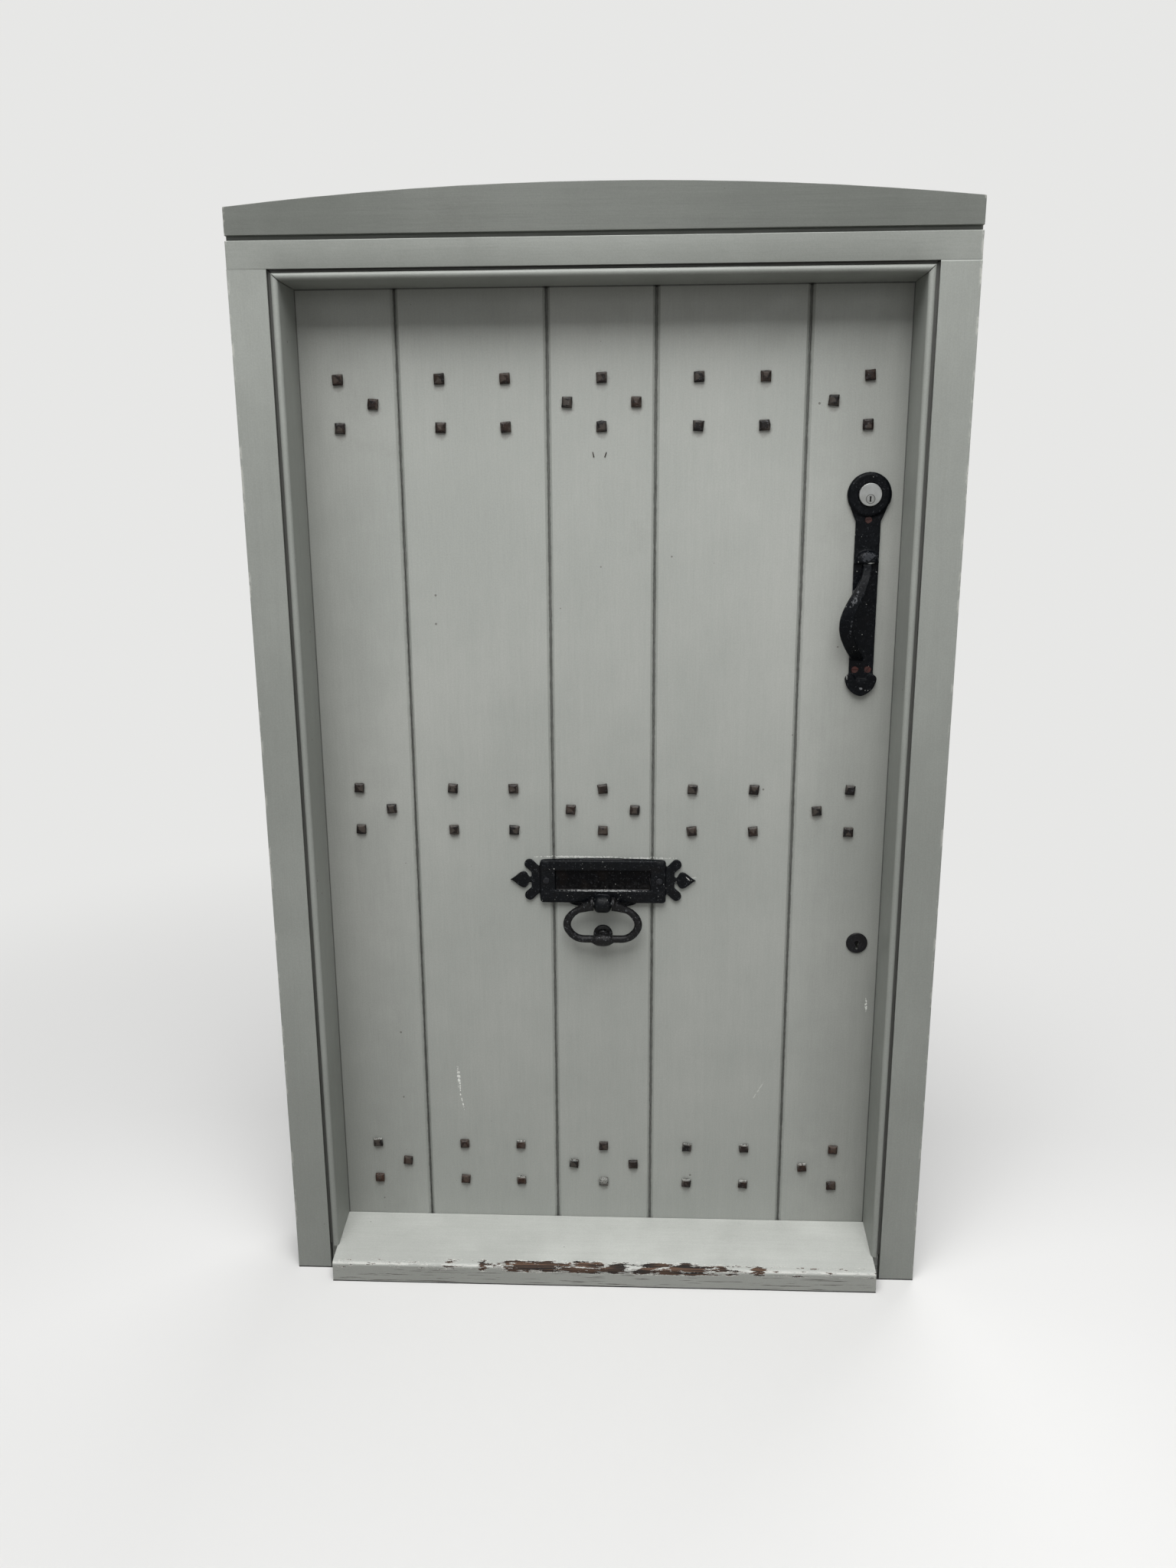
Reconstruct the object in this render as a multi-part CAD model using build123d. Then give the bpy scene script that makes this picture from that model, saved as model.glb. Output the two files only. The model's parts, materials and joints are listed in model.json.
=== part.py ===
from build123d import *
import math
import os

# A boarded cottage door in its frame. Five tongued boards with V joints are nailed to three ledges
# with square studs and stiffened by two braces. The frame has two jambs and a head with a bead
# beside the opening, a board with an arched top above the head, and a weathered timber sill.
# The leaf turns inwards on two tee hinges.
#
# X runs across the doorway, +Y into the house and +Z up. Y = 0 is the outside face of the leaf,
# Z = 0 is the underside of the strip below the sill, and X = 0 is the middle of the doorway.
# All sizes are millimetres.

# Leaf boards
narrow_board = 163.0
wide_board = 226.5
leaf_height = 1571.0
board_thickness = 20.0
v_chamfer = 5.0
joint_gap = 1.2
tongue_length = 9.0
tongue_thickness = 7.0
tongue_clearance = 0.2

# Ledges, braces and lock blocks behind the boards
ledge_thickness = 28.0
ledge_height = 130.0
ledge_bevel = 8.0
bottom_ledge_above_foot = 116.0
middle_ledge_rise = 5.5
top_ledge_below_top = 177.0
brace_width = 110.0
brace_hinge_inset = 30.0
brace_lock_inset = 300.0
brace_nut_gap = 8.0
lock_block_width = 116.0
lock_block_height = 110.0

# Frame
side_lap = 14.0
top_lap = 14.0
bottom_lap = 10.0
edge_gap = 3.0
reveal_depth = 83.0
bead_width = 11.0
quirk_width = 4.0
quirk_depth = 7.0
jamb_face = 57.0
head_face = 38.0
tenon_length = 28.0
tenon_thickness = 16.0
tenon_shoulder = 9.0
tenon_clearance = 0.2

# Arched board over the head
arch_board_thickness = 34.0
arch_end_height = 44.0
arch_rise = 26.0
head_groove = 6.0
head_groove_depth = 8.0

# Sill and the strip that it beds on
sill_nose_height = 35.0
sill_projection = 37.0
sill_slope_deg = 8.8
sill_nose_radius = 7.0
sill_end_lap = 3.0
sill_nose_depth = 50.0
drip_groove_width = 7.0
drip_groove_depth = 5.0
drip_groove_setback = 13.0
strip_thickness = 2.0
strip_setback = 1.5

# Studs
stud_size = 16.0
stud_height = 6.0
stud_taper_deg = 48.0
stud_edge = 3.4
stud_shank = 4.0
stud_shank_length = 45.0
stud_rise = 35.0
stud_diamond_reach = 52.0
stud_pair_reach = 49.5
stud_edge_diamond = 90.0

# Tee hinges
hinge_plate_thickness = 3.0
hinge_pin_radius = 2.75
hinge_pin_clearance = 0.05
knuckle_wall = 2.75
knuckle_length = 22.0
knuckle_gap = 0.3
pin_head_height = 2.0
cross_plate_height = 150.0
cross_plate_width = 36.0
strap_length = 420.0
strap_root_width = 46.0
strap_tip_width = 26.0

# Screws
screw_head_radius = 5.0
screw_head_height = 2.6
screw_shank_radius = 2.2
screw_length = 24.0
screw_post_radius = 6.2

# Cylinder night latch
cylinder_backset = 66.0
cylinder_below_top = 314.0
cylinder_radius = 17.0
cylinder_projection = 13.0
cylinder_length = 34.0
cylinder_clearance = 0.4
plug_radius = 6.5
plug_clearance = 0.05
plug_drop = 6.5
plug_length = 30.0
key_slot_width = 2.2
key_slot_height = 8.0
key_slot_depth = 14.0
tail_bar_width = 7.0
tail_bar_thickness = 2.0
clamp_plate_radius = 20.0
clamp_plate_thickness = 2.5
clamp_screw_radius = 2.2
clamp_screw_reach = 11.0
clamp_screw_bite = 10.0
latch_case_width = 92.0
latch_case_height = 64.0
latch_case_depth = 28.0
latch_case_wall = 3.0
latch_bolt_height = 18.0
latch_bolt_thickness = 12.0
latch_bolt_length = 34.0
latch_bolt_bevel = 7.0
latch_knob_radius = 13.0
latch_knob_depth = 13.0
latch_knob_from_edge = 52.0
spindle_radius = 4.0
spindle_clearance = 0.05
cam_radius = 8.0
cam_thickness = 4.0
bolt_clearance = 0.3

# Rim deadlock
keyhole_from_edge = 50.0
keyhole_above_foot = 534.0
keyhole_radius = 4.0
keyhole_slot_width = 4.0
keyhole_slot_drop = 11.0
escutcheon_radius = 17.5
escutcheon_thickness = 3.0
deadlock_case_width = 100.0
deadlock_case_height = 76.0
deadlock_case_depth = 22.0
deadbolt_height = 20.0
deadbolt_thickness = 9.0
deadbolt_length = 40.0
deadbolt_rise = 16.0

# Keeps on the jamb
keep_width = 30.0
keep_wall = 3.0
keep_flange = 13.0
keep_margin = 7.0
keep_gap = 1.0

# Pull handle
handle_ring_radius = 33.5
handle_ring_depth = 9.0
handle_plate_width = 38.0
handle_plate_depth = 5.0
handle_neck_start = 16.0
handle_neck_end = 40.0
handle_neck_reach = 29.0
handle_root_drop = 102.0
handle_root_depth = 13.0
grip_top = 97.0
grip_bottom = 254.0
grip_projection = 44.0
grip_thickness = 8.0
grip_width = 21.0
grip_end_width = 14.0
grip_crank = 32.0
foot_shoulder_drop = 281.0
foot_tip_drop = 308.0
foot_half_width = 24.5
foot_lobe_radius = 7.5
foot_depth = 8.0
upper_screw_drop = 37.0
lower_screw_drop = 266.0
lower_screw_reach = 10.0

# Letterplate, flap and knocker
letterplate_below_ledge = 119.5
plate_body_width = 208.0
plate_thickness = 5.0
upper_border_height = 18.0
lower_border_height = 21.5
border_gap = 0.5
border_depth = 4.5
border_fillet = 2.5
plate_arch_rise = 2.5
plate_corner = 6.0
finial_tip_reach = 154.0
finial_length = 32.0
finial_height = 28.0
finial_neck_height = 9.0
shield_reach = 118.0
shield_half_height = 13.0
ear_radius = 8.5
ear_reach = 121.0
ear_rise = 27.0
apron_half_width = 56.0
apron_drop = 49.0
aperture_width = 156.0
aperture_height = 33.0
flap_width = 155.0
flap_thickness = 2.5
flap_clearance = 0.6
flap_rod_radius = 1.5
flap_knuckle_radius = 3.2
flap_rod_rise = 4.5
trough_room = 1.0
rod_seat = 3.0
slot_side_room = 0.5
plate_bolt_reach = 93.0
plate_bolt_radius = 3.0
plate_bolt_head_radius = 5.3
plate_bolt_head_height = 2.2
plate_bolt_tail = 7.0
nut_across_flats = 10.0
nut_height = 4.0
knocker_drop = 35.0
knocker_boss_radius = 15.0
knocker_boss_length = 28.0
knocker_boss_rounding = 8.0
knocker_boss_projection = 21.5
knocker_pin_radius = 3.0
knocker_pin_clearance = 0.06
knocker_side_gap = 0.4
knocker_eye_radius = 11.0
knocker_eye_width = 6.0
knocker_bar_radius = 5.4
knocker_root_radius = 10.0
knocker_root_length = 26.0
knocker_reach = 58.7
knocker_fall = 61.5
knocker_knob_radius = 8.5
knocker_knob_length = 34.0
knocker_stud_base_radius = 16.0
knocker_stud_cap_radius = 10.5
knocker_stud_base_height = 5.0
knocker_stud_gap = 0.3
knocker_stud_rise = 1.5

# Holes in the jambs for fixing the frame to its wall
fixing_hole_radius = 4.0
fixing_hole_spacing = 560.0
fixing_hole_count = 3

# Planes and edges that follow from the sizes above
leaf_width = 3 * narrow_board + 2 * wide_board
leaf_right = leaf_width / 2
leaf_rear = board_thickness + ledge_thickness
frame_front = -reveal_depth
frame_rear = leaf_rear
jamb_inner = leaf_right - side_lap
quirk_inner = jamb_inner + bead_width
quirk_outer = quirk_inner + quirk_width
jamb_outer = quirk_outer + jamb_face
rebate_wall = leaf_right + edge_gap
nose_front = frame_front - sill_projection
sill_bottom = strip_thickness
nose_top = sill_bottom + sill_nose_height
sill_slope = math.tan(math.radians(sill_slope_deg))
sill_back_edge = nose_top - nose_front * sill_slope
leaf_bottom = sill_back_edge - bottom_lap
leaf_top = leaf_bottom + leaf_height
rebate_floor = leaf_bottom - edge_gap
soffit = leaf_top - top_lap
head_quirk_top = soffit + bead_width + quirk_width
rebate_ceiling = leaf_top + edge_gap
head_top = head_quirk_top + head_face
bottom_ledge = leaf_bottom + bottom_ledge_above_foot
top_ledge = leaf_top - top_ledge_below_top
middle_ledge = (bottom_ledge + top_ledge) / 2 + middle_ledge_rise
cylinder_x = leaf_right - cylinder_backset
cylinder_z = leaf_top - cylinder_below_top
keyhole_x = leaf_right - keyhole_from_edge
keyhole_z = leaf_bottom + keyhole_above_foot
letterplate_z = middle_ledge - letterplate_below_ledge
knocker_z = letterplate_z - knocker_drop
knocker_y = -knocker_boss_projection
pin_y = frame_rear + hinge_pin_radius + knuckle_wall
pin_x = -(leaf_right + rebate_wall) / 2
knuckle_radius = hinge_pin_radius + knuckle_wall
brace_foot = -leaf_right + brace_hinge_inset
plate_edge_left = pin_x - knuckle_radius - knuckle_gap
plate_edge_right = pin_x + knuckle_radius + knuckle_gap
far = 4 * jamb_outer


def box(x0, x1, y0, y1, z0, z1):
    return Pos((x0 + x1) / 2, (y0 + y1) / 2, (z0 + z1) / 2) * Box(x1 - x0, y1 - y0, z1 - z0)


def rod_x(x0, x1, y, z, radius):
    return Pos((x0 + x1) / 2, y, z) * Rot(0, 90, 0) * Cylinder(radius, x1 - x0)


def rod_y(x, y0, y1, z, radius):
    return Pos(x, (y0 + y1) / 2, z) * Rot(90, 0, 0) * Cylinder(radius, y1 - y0)


def rod_z(x, y, z0, z1, radius):
    return Pos(x, y, (z0 + z1) / 2) * Cylinder(radius, z1 - z0)


def prism_x(outline, x0, x1):
    face = make_face(Polyline(*[(x0, y, z) for y, z in outline], close=True))
    return extrude(face, amount=x1 - x0, dir=(1, 0, 0))


def prism_y(outline, y0, y1):
    face = make_face(Polyline(*[(x, y0, z) for x, z in outline], close=True))
    return extrude(face, amount=y1 - y0, dir=(0, 1, 0))


def prism_z(outline, z0, z1):
    face = make_face(Polyline(*[(x, y, z0) for x, y in outline], close=True))
    return extrude(face, amount=z1 - z0, dir=(0, 0, 1))


def proud(sketch, x, z, back, depth):
    """Extrude a sketch drawn about (x, z) outwards from the plane Y = -back."""
    plane = Plane(origin=(x, -back, z), x_dir=(1, 0, 0), z_dir=(0, -1, 0))
    return extrude(plane * sketch, amount=depth)


def mirrored(shape):
    return mirror(shape, about=Plane.YZ)


def frame_tenons(side):
    """Tenon blanks at one jamb: one up into the head, one of the sill into the jamb."""
    y0 = frame_front / 2 - tenon_thickness / 2
    y1 = frame_front / 2 + tenon_thickness / 2
    x0 = quirk_outer + tenon_shoulder
    x1 = jamb_outer - tenon_shoulder
    up = box(x0, x1, y0, y1, head_quirk_top, head_quirk_top + tenon_length)
    z0 = sill_bottom + tenon_shoulder
    across = box(quirk_outer, quirk_outer + tenon_length, y0, y1, z0, z0 + tenon_thickness)
    if side < 0:
        up = mirrored(up)
        across = mirrored(across)
    return up, across


def eased(blank):
    """A mortise for a tenon blank, larger by the joint's clearance."""
    size = blank.bounding_box().size
    grow = 2 * tenon_clearance
    centre = blank.bounding_box().center()
    return Pos(*centre) * Box(size.X + grow, size.Y + grow, size.Z + grow)


def jamb_plan():
    """Plan of the right jamb: bead, quirk, plain face and the rebate behind the leaf's edge."""
    bead = bead_width / 2
    z0 = strip_thickness
    points = [(quirk_inner, frame_front + quirk_depth), (quirk_outer, frame_front + quirk_depth)]
    points += [(quirk_outer, frame_front), (jamb_outer, frame_front), (jamb_outer, frame_rear)]
    points += [(rebate_wall, frame_rear), (rebate_wall, 0), (jamb_inner, 0)]
    points += [(jamb_inner, frame_front + bead)]
    rest = Polyline((quirk_inner, frame_front + bead, z0), *[(x, y, z0) for x, y in points])
    round_nose = ThreePointArc(
        (jamb_inner, frame_front + bead, z0),
        (jamb_inner + bead, frame_front, z0),
        (quirk_inner, frame_front + bead, z0),
    )
    return make_face([rest, round_nose])


def right_jamb():
    jamb = extrude(jamb_plan(), amount=rebate_ceiling - strip_thickness, dir=(0, 0, 1))
    jamb -= box(quirk_outer, far, -far, 0, head_quirk_top, far)
    mitre = [(jamb_inner - 1, soffit - 1), (quirk_outer, head_quirk_top)]
    mitre += [(quirk_outer, far), (jamb_inner - 1, far)]
    jamb -= prism_y(mitre, -far, 0)
    foot = [(nose_front, -1), (nose_front, nose_top), (0, sill_back_edge), (0, -1)]
    jamb -= prism_x(foot, jamb_inner - 1, quirk_outer)
    up, across = frame_tenons(1)
    jamb += up
    jamb -= eased(across)
    for height in fixing_heights():
        jamb -= rod_x(rebate_wall - 1, jamb_outer + 1, frame_rear / 2, height, fixing_hole_radius)
    return jamb


def fixing_heights():
    middle = (leaf_bottom + leaf_top) / 2
    first = middle - fixing_hole_spacing * (fixing_hole_count - 1) / 2
    return [first + fixing_hole_spacing * i for i in range(fixing_hole_count)]


def head():
    bead = bead_width / 2
    x0 = -jamb_outer
    points = [(frame_front + quirk_depth, soffit + bead_width)]
    points += [(frame_front + quirk_depth, head_quirk_top), (frame_front, head_quirk_top)]
    points += [(frame_front, head_top), (frame_rear, head_top), (frame_rear, rebate_ceiling)]
    points += [(0, rebate_ceiling), (0, soffit), (frame_front + bead, soffit)]
    rest = Polyline((x0, frame_front + bead, soffit + bead_width), *[(x0, y, z) for y, z in points])
    round_nose = ThreePointArc(
        (x0, frame_front + bead, soffit),
        (x0, frame_front, soffit + bead),
        (x0, frame_front + bead, soffit + bead_width),
    )
    blank = extrude(make_face([rest, round_nose]), amount=2 * jamb_outer, dir=(1, 0, 0))
    end = [(jamb_inner, soffit), (quirk_outer, head_quirk_top), (far, head_quirk_top)]
    end += [(far, soffit - 1), (jamb_inner - 1, soffit - 1)]
    for side in (1, -1):
        waste = prism_y(end, -far, 0)
        blank -= waste if side > 0 else mirrored(waste)
        blank -= eased(frame_tenons(side)[0])
    return blank


def arched_head_board():
    z0 = head_top
    end_z = head_top + arch_end_height
    y0 = frame_front
    crown = (0, y0, end_z + arch_rise)
    sides = Polyline(
        (jamb_outer, y0, end_z), (jamb_outer, y0, z0), (-jamb_outer, y0, z0), (-jamb_outer, y0, end_z)
    )
    top = ThreePointArc((-jamb_outer, y0, end_z), crown, (jamb_outer, y0, end_z))
    board = extrude(make_face([sides, top]), amount=arch_board_thickness, dir=(0, 1, 0))
    groove = box(-far, far, y0 - 1, y0 + head_groove_depth, z0 - 1, z0 + head_groove)
    return board - groove


def sill():
    outline = [(nose_front, sill_bottom), (nose_front, nose_top), (0, sill_back_edge)]
    outline += [(0, rebate_floor), (frame_rear, rebate_floor), (frame_rear, sill_bottom)]
    body = prism_x(outline, -quirk_outer, quirk_outer)
    arris = [e for e in body.edges() if abs(e.center().Y - nose_front) < 0.01]
    arris = [e for e in arris if abs(e.center().Z - nose_top) < 0.01]
    body = fillet(arris, sill_nose_radius)
    nose_end = jamb_inner + sill_end_lap
    nose_back = nose_front + sill_nose_depth
    groove_y = nose_front + drip_groove_setback
    for side in (1, -1):
        waste = box(nose_end, far, -far, nose_back, -1, far)
        rear = box(quirk_outer, rebate_wall, 0, frame_rear, sill_bottom, rebate_floor)
        body -= waste if side > 0 else mirrored(waste)
        body += rear if side > 0 else mirrored(rear)
        body += frame_tenons(side)[1]
    groove_top = sill_bottom + drip_groove_depth
    body -= box(-far, far, groove_y, groove_y + drip_groove_width, -1, groove_top)
    return body


def bed_strip():
    y0 = nose_front + strip_setback
    nose_end = jamb_inner + sill_end_lap
    strip = box(-jamb_outer, jamb_outer, frame_front, frame_rear, 0, strip_thickness)
    return strip + box(-nose_end, nose_end, y0, frame_front, 0, strip_thickness)


def board_joints():
    """X of the leaf's left edge, of its four V joints and of its right edge."""
    edges = [-leaf_right]
    for width in (narrow_board, wide_board, narrow_board, wide_board, narrow_board):
        edges.append(edges[-1] + width)
    return edges


def board(number):
    edges = board_joints()
    first = number == 1
    last = number == len(edges) - 1
    x0 = edges[number - 1] + (0 if first else joint_gap / 2)
    x1 = edges[number] - (0 if last else joint_gap / 2)
    middle = (board_thickness + v_chamfer) / 2
    tongue_front = middle - tongue_thickness / 2
    tongue_rear = middle + tongue_thickness / 2
    outline = [(x0, 0)] if first else [(x0, v_chamfer), (x0 + v_chamfer, 0)]
    outline += [(x1, 0)] if last else [(x1 - v_chamfer, 0), (x1, v_chamfer)]
    if not last:
        tip = x1 + tongue_length
        outline += [(x1, tongue_front), (tip, tongue_front), (tip, tongue_rear), (x1, tongue_rear)]
    outline += [(x1, board_thickness), (x0, board_thickness)]
    if not first:
        floor = x0 - joint_gap + tongue_length + 2 * tongue_clearance
        rear = tongue_rear + tongue_clearance
        front = tongue_front - tongue_clearance
        outline += [(x0, rear), (floor, rear), (floor, front), (x0, front)]
    return prism_z(outline, leaf_bottom, leaf_top)


def stud_columns():
    """Stud places in a row as (x, rises): pairs above and below the row's middle, or one on it."""
    edges = board_joints()
    pair = (-stud_rise, stud_rise)
    single = (0,)
    columns = []
    for number in (1, 2, 3, 4, 5):
        middle = (edges[number - 1] + edges[number]) / 2
        if number == 1:
            centre = edges[1] - stud_edge_diamond
            columns += [(centre, pair), (centre + stud_diamond_reach, single)]
        elif number == 5:
            centre = edges[4] + stud_edge_diamond
            columns += [(centre, pair), (centre - stud_diamond_reach, single)]
        elif number == 3:
            columns += [(middle, pair), (middle - stud_diamond_reach, single)]
            columns += [(middle + stud_diamond_reach, single)]
        else:
            columns += [(middle - stud_pair_reach, pair), (middle + stud_pair_reach, pair)]
    return columns


def stud_places(row_z):
    return [(x, row_z + rise) for x, rises in stud_columns() for rise in rises]


def stud_shanks(row_z):
    half = stud_shank / 2
    return [
        box(x - half, x + half, 0, stud_shank_length, z - half, z + half)
        for x, z in stud_places(row_z)
    ]


def stud_row(row_z):
    edge = Rectangle(stud_size, stud_size)
    plane = Plane(origin=(0, -stud_edge, 0), x_dir=(1, 0, 0), z_dir=(0, -1, 0))
    crown = extrude(plane * edge, amount=stud_height - stud_edge, taper=stud_taper_deg)
    face = proud(edge, 0, 0, 0, stud_edge) + crown
    studs = []
    for (x, z), shank in zip(stud_places(row_z), stud_shanks(row_z)):
        studs.append(Pos(x, 0, z) * face + shank)
    return studs


def ledge(row_z):
    low = row_z - ledge_height / 2
    high = row_z + ledge_height / 2
    outline = [(board_thickness, low), (board_thickness, high)]
    outline += [(leaf_rear - ledge_bevel, high), (leaf_rear, high - ledge_bevel)]
    outline += [(leaf_rear, low + ledge_bevel), (leaf_rear - ledge_bevel, low)]
    body = prism_x(outline, -leaf_right, leaf_right)
    for shank in stud_shanks(row_z):
        body -= shank
    return body


def brace_span(lower_row, upper_row):
    return lower_row + ledge_height / 2, upper_row - ledge_height / 2


def brace(lower_row, upper_row, head_x):
    """A brace that rises from the hinge side to head_x, the near corner of its upper end."""
    z0, z1 = brace_span(lower_row, upper_row)
    outline = [(brace_foot, z0), (brace_foot + brace_width, z0)]
    outline += [(head_x + brace_width, z1), (head_x, z1)]
    return prism_y(outline, board_thickness, leaf_rear)


def lower_brace_head():
    """The lower brace passes the nut of the letterplate's bolt with its own gap."""
    z0, z1 = brace_span(bottom_ledge, middle_ledge)
    passing = plate_bolt_reach + nut_across_flats / 2 + brace_nut_gap
    return brace_foot + (passing - brace_foot) * (z1 - z0) / (letterplate_z - z0)


def lock_block(z):
    x0 = leaf_right - lock_block_width
    half = lock_block_height / 2
    return box(x0, leaf_right, board_thickness, leaf_rear, z - half, z + half)


def screw(x, z, face_y, inward):
    """A countersunk screw driven along Y from face_y; inward is +1 towards +Y and -1 towards -Y."""
    head_y = face_y + inward * screw_head_height / 2
    turn = 90 if inward < 0 else -90
    head = Cone(screw_shank_radius, screw_head_radius, screw_head_height)
    end_y = face_y + inward * screw_length
    shank = rod_y(x, min(face_y, end_y), max(face_y, end_y), z, screw_shank_radius)
    return Pos(x, head_y, z) * Rot(-turn, 0, 0) * head + shank


def knuckles(row_z):
    """Three knuckle spans on the pin: lower and upper on the cross plate, the middle on the strap."""
    half = knuckle_length / 2
    lower = (row_z - 3 * half, row_z - half - knuckle_gap)
    middle = (row_z - half, row_z + half)
    upper = (row_z + half + knuckle_gap, row_z + 3 * half)
    return lower, middle, upper


def knuckle(span, reach_x):
    """A tube round the pin with a leaf that runs to the plate at reach_x."""
    tube = rod_z(pin_x, pin_y, span[0], span[1], knuckle_radius)
    x0 = min(pin_x, reach_x)
    x1 = max(pin_x, reach_x)
    tube += box(x0, x1, frame_rear, frame_rear + hinge_plate_thickness, span[0], span[1])
    bore = hinge_pin_radius + hinge_pin_clearance
    return tube - rod_z(pin_x, pin_y, span[0] - 1, span[1] + 1, bore)


def cross_plate_screw_places(row_z):
    x = plate_edge_left - cross_plate_width / 2
    reach = cross_plate_height / 2 - 2 * screw_head_radius
    return [(x, row_z - reach), (x, row_z), (x, row_z + reach)]


def cross_plate(row_z):
    x1 = plate_edge_left
    x0 = x1 - cross_plate_width
    half = cross_plate_height / 2
    y1 = frame_rear + hinge_plate_thickness
    plate = box(x0, x1, frame_rear, y1, row_z - half, row_z + half)
    corners = [e for e in plate.edges() if abs(e.tangent_at(0.5).Y) > 0.9]
    plate = fillet(corners, screw_head_radius)
    lower, middle, upper = knuckles(row_z)
    plate += knuckle(lower, x1)
    plate += knuckle(upper, x1)
    for x, z in cross_plate_screw_places(row_z):
        plate -= screw(x, z, y1, -1)
    return plate


def strap_screw_places(row_z):
    x0 = pin_x + 3 * screw_head_radius
    step = (strap_length - 5 * screw_head_radius) / 3
    return [(x0 + step * i, row_z) for i in range(4)]


def hinge_strap(row_z):
    x0 = plate_edge_right
    x1 = pin_x + strap_length
    y1 = frame_rear + hinge_plate_thickness
    root = strap_root_width / 2
    tip = strap_tip_width / 2
    outline = [(x0, row_z - root), (x1 - tip, row_z - tip), (x1 - tip, row_z + tip), (x0, row_z + root)]
    strap = prism_y(outline, frame_rear, y1)
    strap += rod_y(x1 - tip, frame_rear, y1, row_z, tip)
    strap += knuckle(knuckles(row_z)[1], x0)
    for x, z in strap_screw_places(row_z):
        strap -= screw(x, z, y1, -1)
    return strap


def hinge_pin(row_z):
    half = 3 * knuckle_length / 2
    pin = rod_z(pin_x, pin_y, row_z - half, row_z + half, hinge_pin_radius)
    head = knuckle_radius - hinge_pin_clearance
    pin += rod_z(pin_x, pin_y, row_z - half - pin_head_height, row_z - half, head)
    pin += rod_z(pin_x, pin_y, row_z + half, row_z + half + pin_head_height, head)
    return pin


def key_hole_tool(y0, y1):
    hole = rod_y(keyhole_x, y0, y1, keyhole_z, keyhole_radius)
    half = keyhole_slot_width / 2
    bottom = keyhole_z - keyhole_slot_drop
    return hole + box(keyhole_x - half, keyhole_x + half, y0, y1, bottom, keyhole_z)


def keyhole_escutcheon():
    plate = rod_y(keyhole_x, -escutcheon_thickness, 0, keyhole_z, escutcheon_radius)
    rim = plate.edges().sort_by(Axis.Y)[0]
    plate = chamfer(rim, escutcheon_thickness / 3)
    return plate - key_hole_tool(-far, far)


def case_shell(x0, depth, z, height):
    """A lock case on the rear face of its block, open towards the wood."""
    y0 = leaf_rear
    half = height / 2
    body = box(x0, leaf_right, y0, y0 + depth, z - half, z + half)
    outer = [e for e in body.edges() if abs(e.center().Y - y0 - depth) < 0.01]
    body = chamfer(outer, latch_case_wall / 2)
    wall = latch_case_wall
    inside = box(x0 + wall, leaf_right - wall, y0 - 1, y0 + depth - wall, z - half + wall, z + half - wall)
    return body - inside


def lock_screw_places(x0, z, height):
    inset_x = screw_head_radius + latch_case_wall
    reach = height / 2 - screw_head_radius - latch_case_wall
    return [(x0 + inset_x, z - reach), (x0 + inset_x, z + reach)]


def screw_pillars(places, depth):
    """Posts inside a case that carry its fixing screws down to the wood."""
    posts = None
    for x, z in places:
        post = rod_y(x, leaf_rear, leaf_rear + depth - latch_case_wall / 2, z, screw_post_radius)
        posts = post if posts is None else posts + post
    return posts


def case_screw(x, z, depth):
    """A long screw through a case post into the lock block."""
    top = leaf_rear + depth
    short = screw(x, z, top, -1)
    return short + rod_y(x, leaf_rear - screw_length / 2, top - screw_length / 2, z, screw_shank_radius)


latch_case_x0 = leaf_right - latch_case_width
latch_screws = lock_screw_places(latch_case_x0, cylinder_z, latch_case_height)
deadlock_case_x0 = leaf_right - deadlock_case_width
deadlock_screws = lock_screw_places(deadlock_case_x0, keyhole_z, deadlock_case_height)
latch_bolt_y0 = leaf_rear + latch_case_depth - latch_case_wall - bolt_clearance - latch_bolt_thickness
latch_bolt_z = cylinder_z
deadbolt_y0 = leaf_rear + deadlock_case_depth - latch_case_wall - bolt_clearance - deadbolt_thickness
deadbolt_z = keyhole_z + deadbolt_rise
knob_x = leaf_right - latch_knob_from_edge
knob_face = leaf_rear + latch_case_depth


def latch_bolt():
    half = latch_bolt_height / 2
    x0 = leaf_right - latch_bolt_length
    y0 = latch_bolt_y0
    y1 = y0 + latch_bolt_thickness
    nose = leaf_right
    outline = [(x0, y0), (nose - latch_bolt_bevel, y0), (nose, y1 - latch_bolt_thickness / 4)]
    outline += [(nose, y1), (x0, y1)]
    return prism_z(outline, latch_bolt_z - half, latch_bolt_z + half)


def bolt_window(y0, thickness, z, height):
    gap = bolt_clearance
    half = height / 2 + gap
    x0 = leaf_right - latch_case_wall - 1
    return box(x0, leaf_right + 1, y0 - gap, y0 + thickness + gap, z - half, z + half)


def night_latch_case():
    body = case_shell(latch_case_x0, latch_case_depth, cylinder_z, latch_case_height)
    body += screw_pillars(latch_screws, latch_case_depth)
    body -= bolt_window(latch_bolt_y0, latch_bolt_thickness, latch_bolt_z, latch_bolt_height)
    hole = spindle_radius + spindle_clearance
    body -= rod_y(knob_x, knob_face - latch_case_wall - 1, knob_face + 1, cylinder_z, hole)
    for x, z in latch_screws:
        body -= case_screw(x, z, latch_case_depth)
    return body


def latch_knob():
    cam_y = knob_face - latch_case_wall - bolt_clearance
    grip_y0 = knob_face + bolt_clearance
    grip_y1 = grip_y0 + latch_knob_depth
    grip = rod_y(knob_x, grip_y0, grip_y1, cylinder_z, latch_knob_radius)
    rim = [e for e in grip.edges() if e.geom_type == GeomType.CIRCLE]
    grip = chamfer(rim, latch_knob_depth / 5)
    spindle = rod_y(knob_x, cam_y - cam_thickness, grip_y0 + 1, cylinder_z, spindle_radius)
    cam = rod_y(knob_x, cam_y - cam_thickness, cam_y, cylinder_z, cam_radius)
    return grip + spindle + cam


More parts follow.
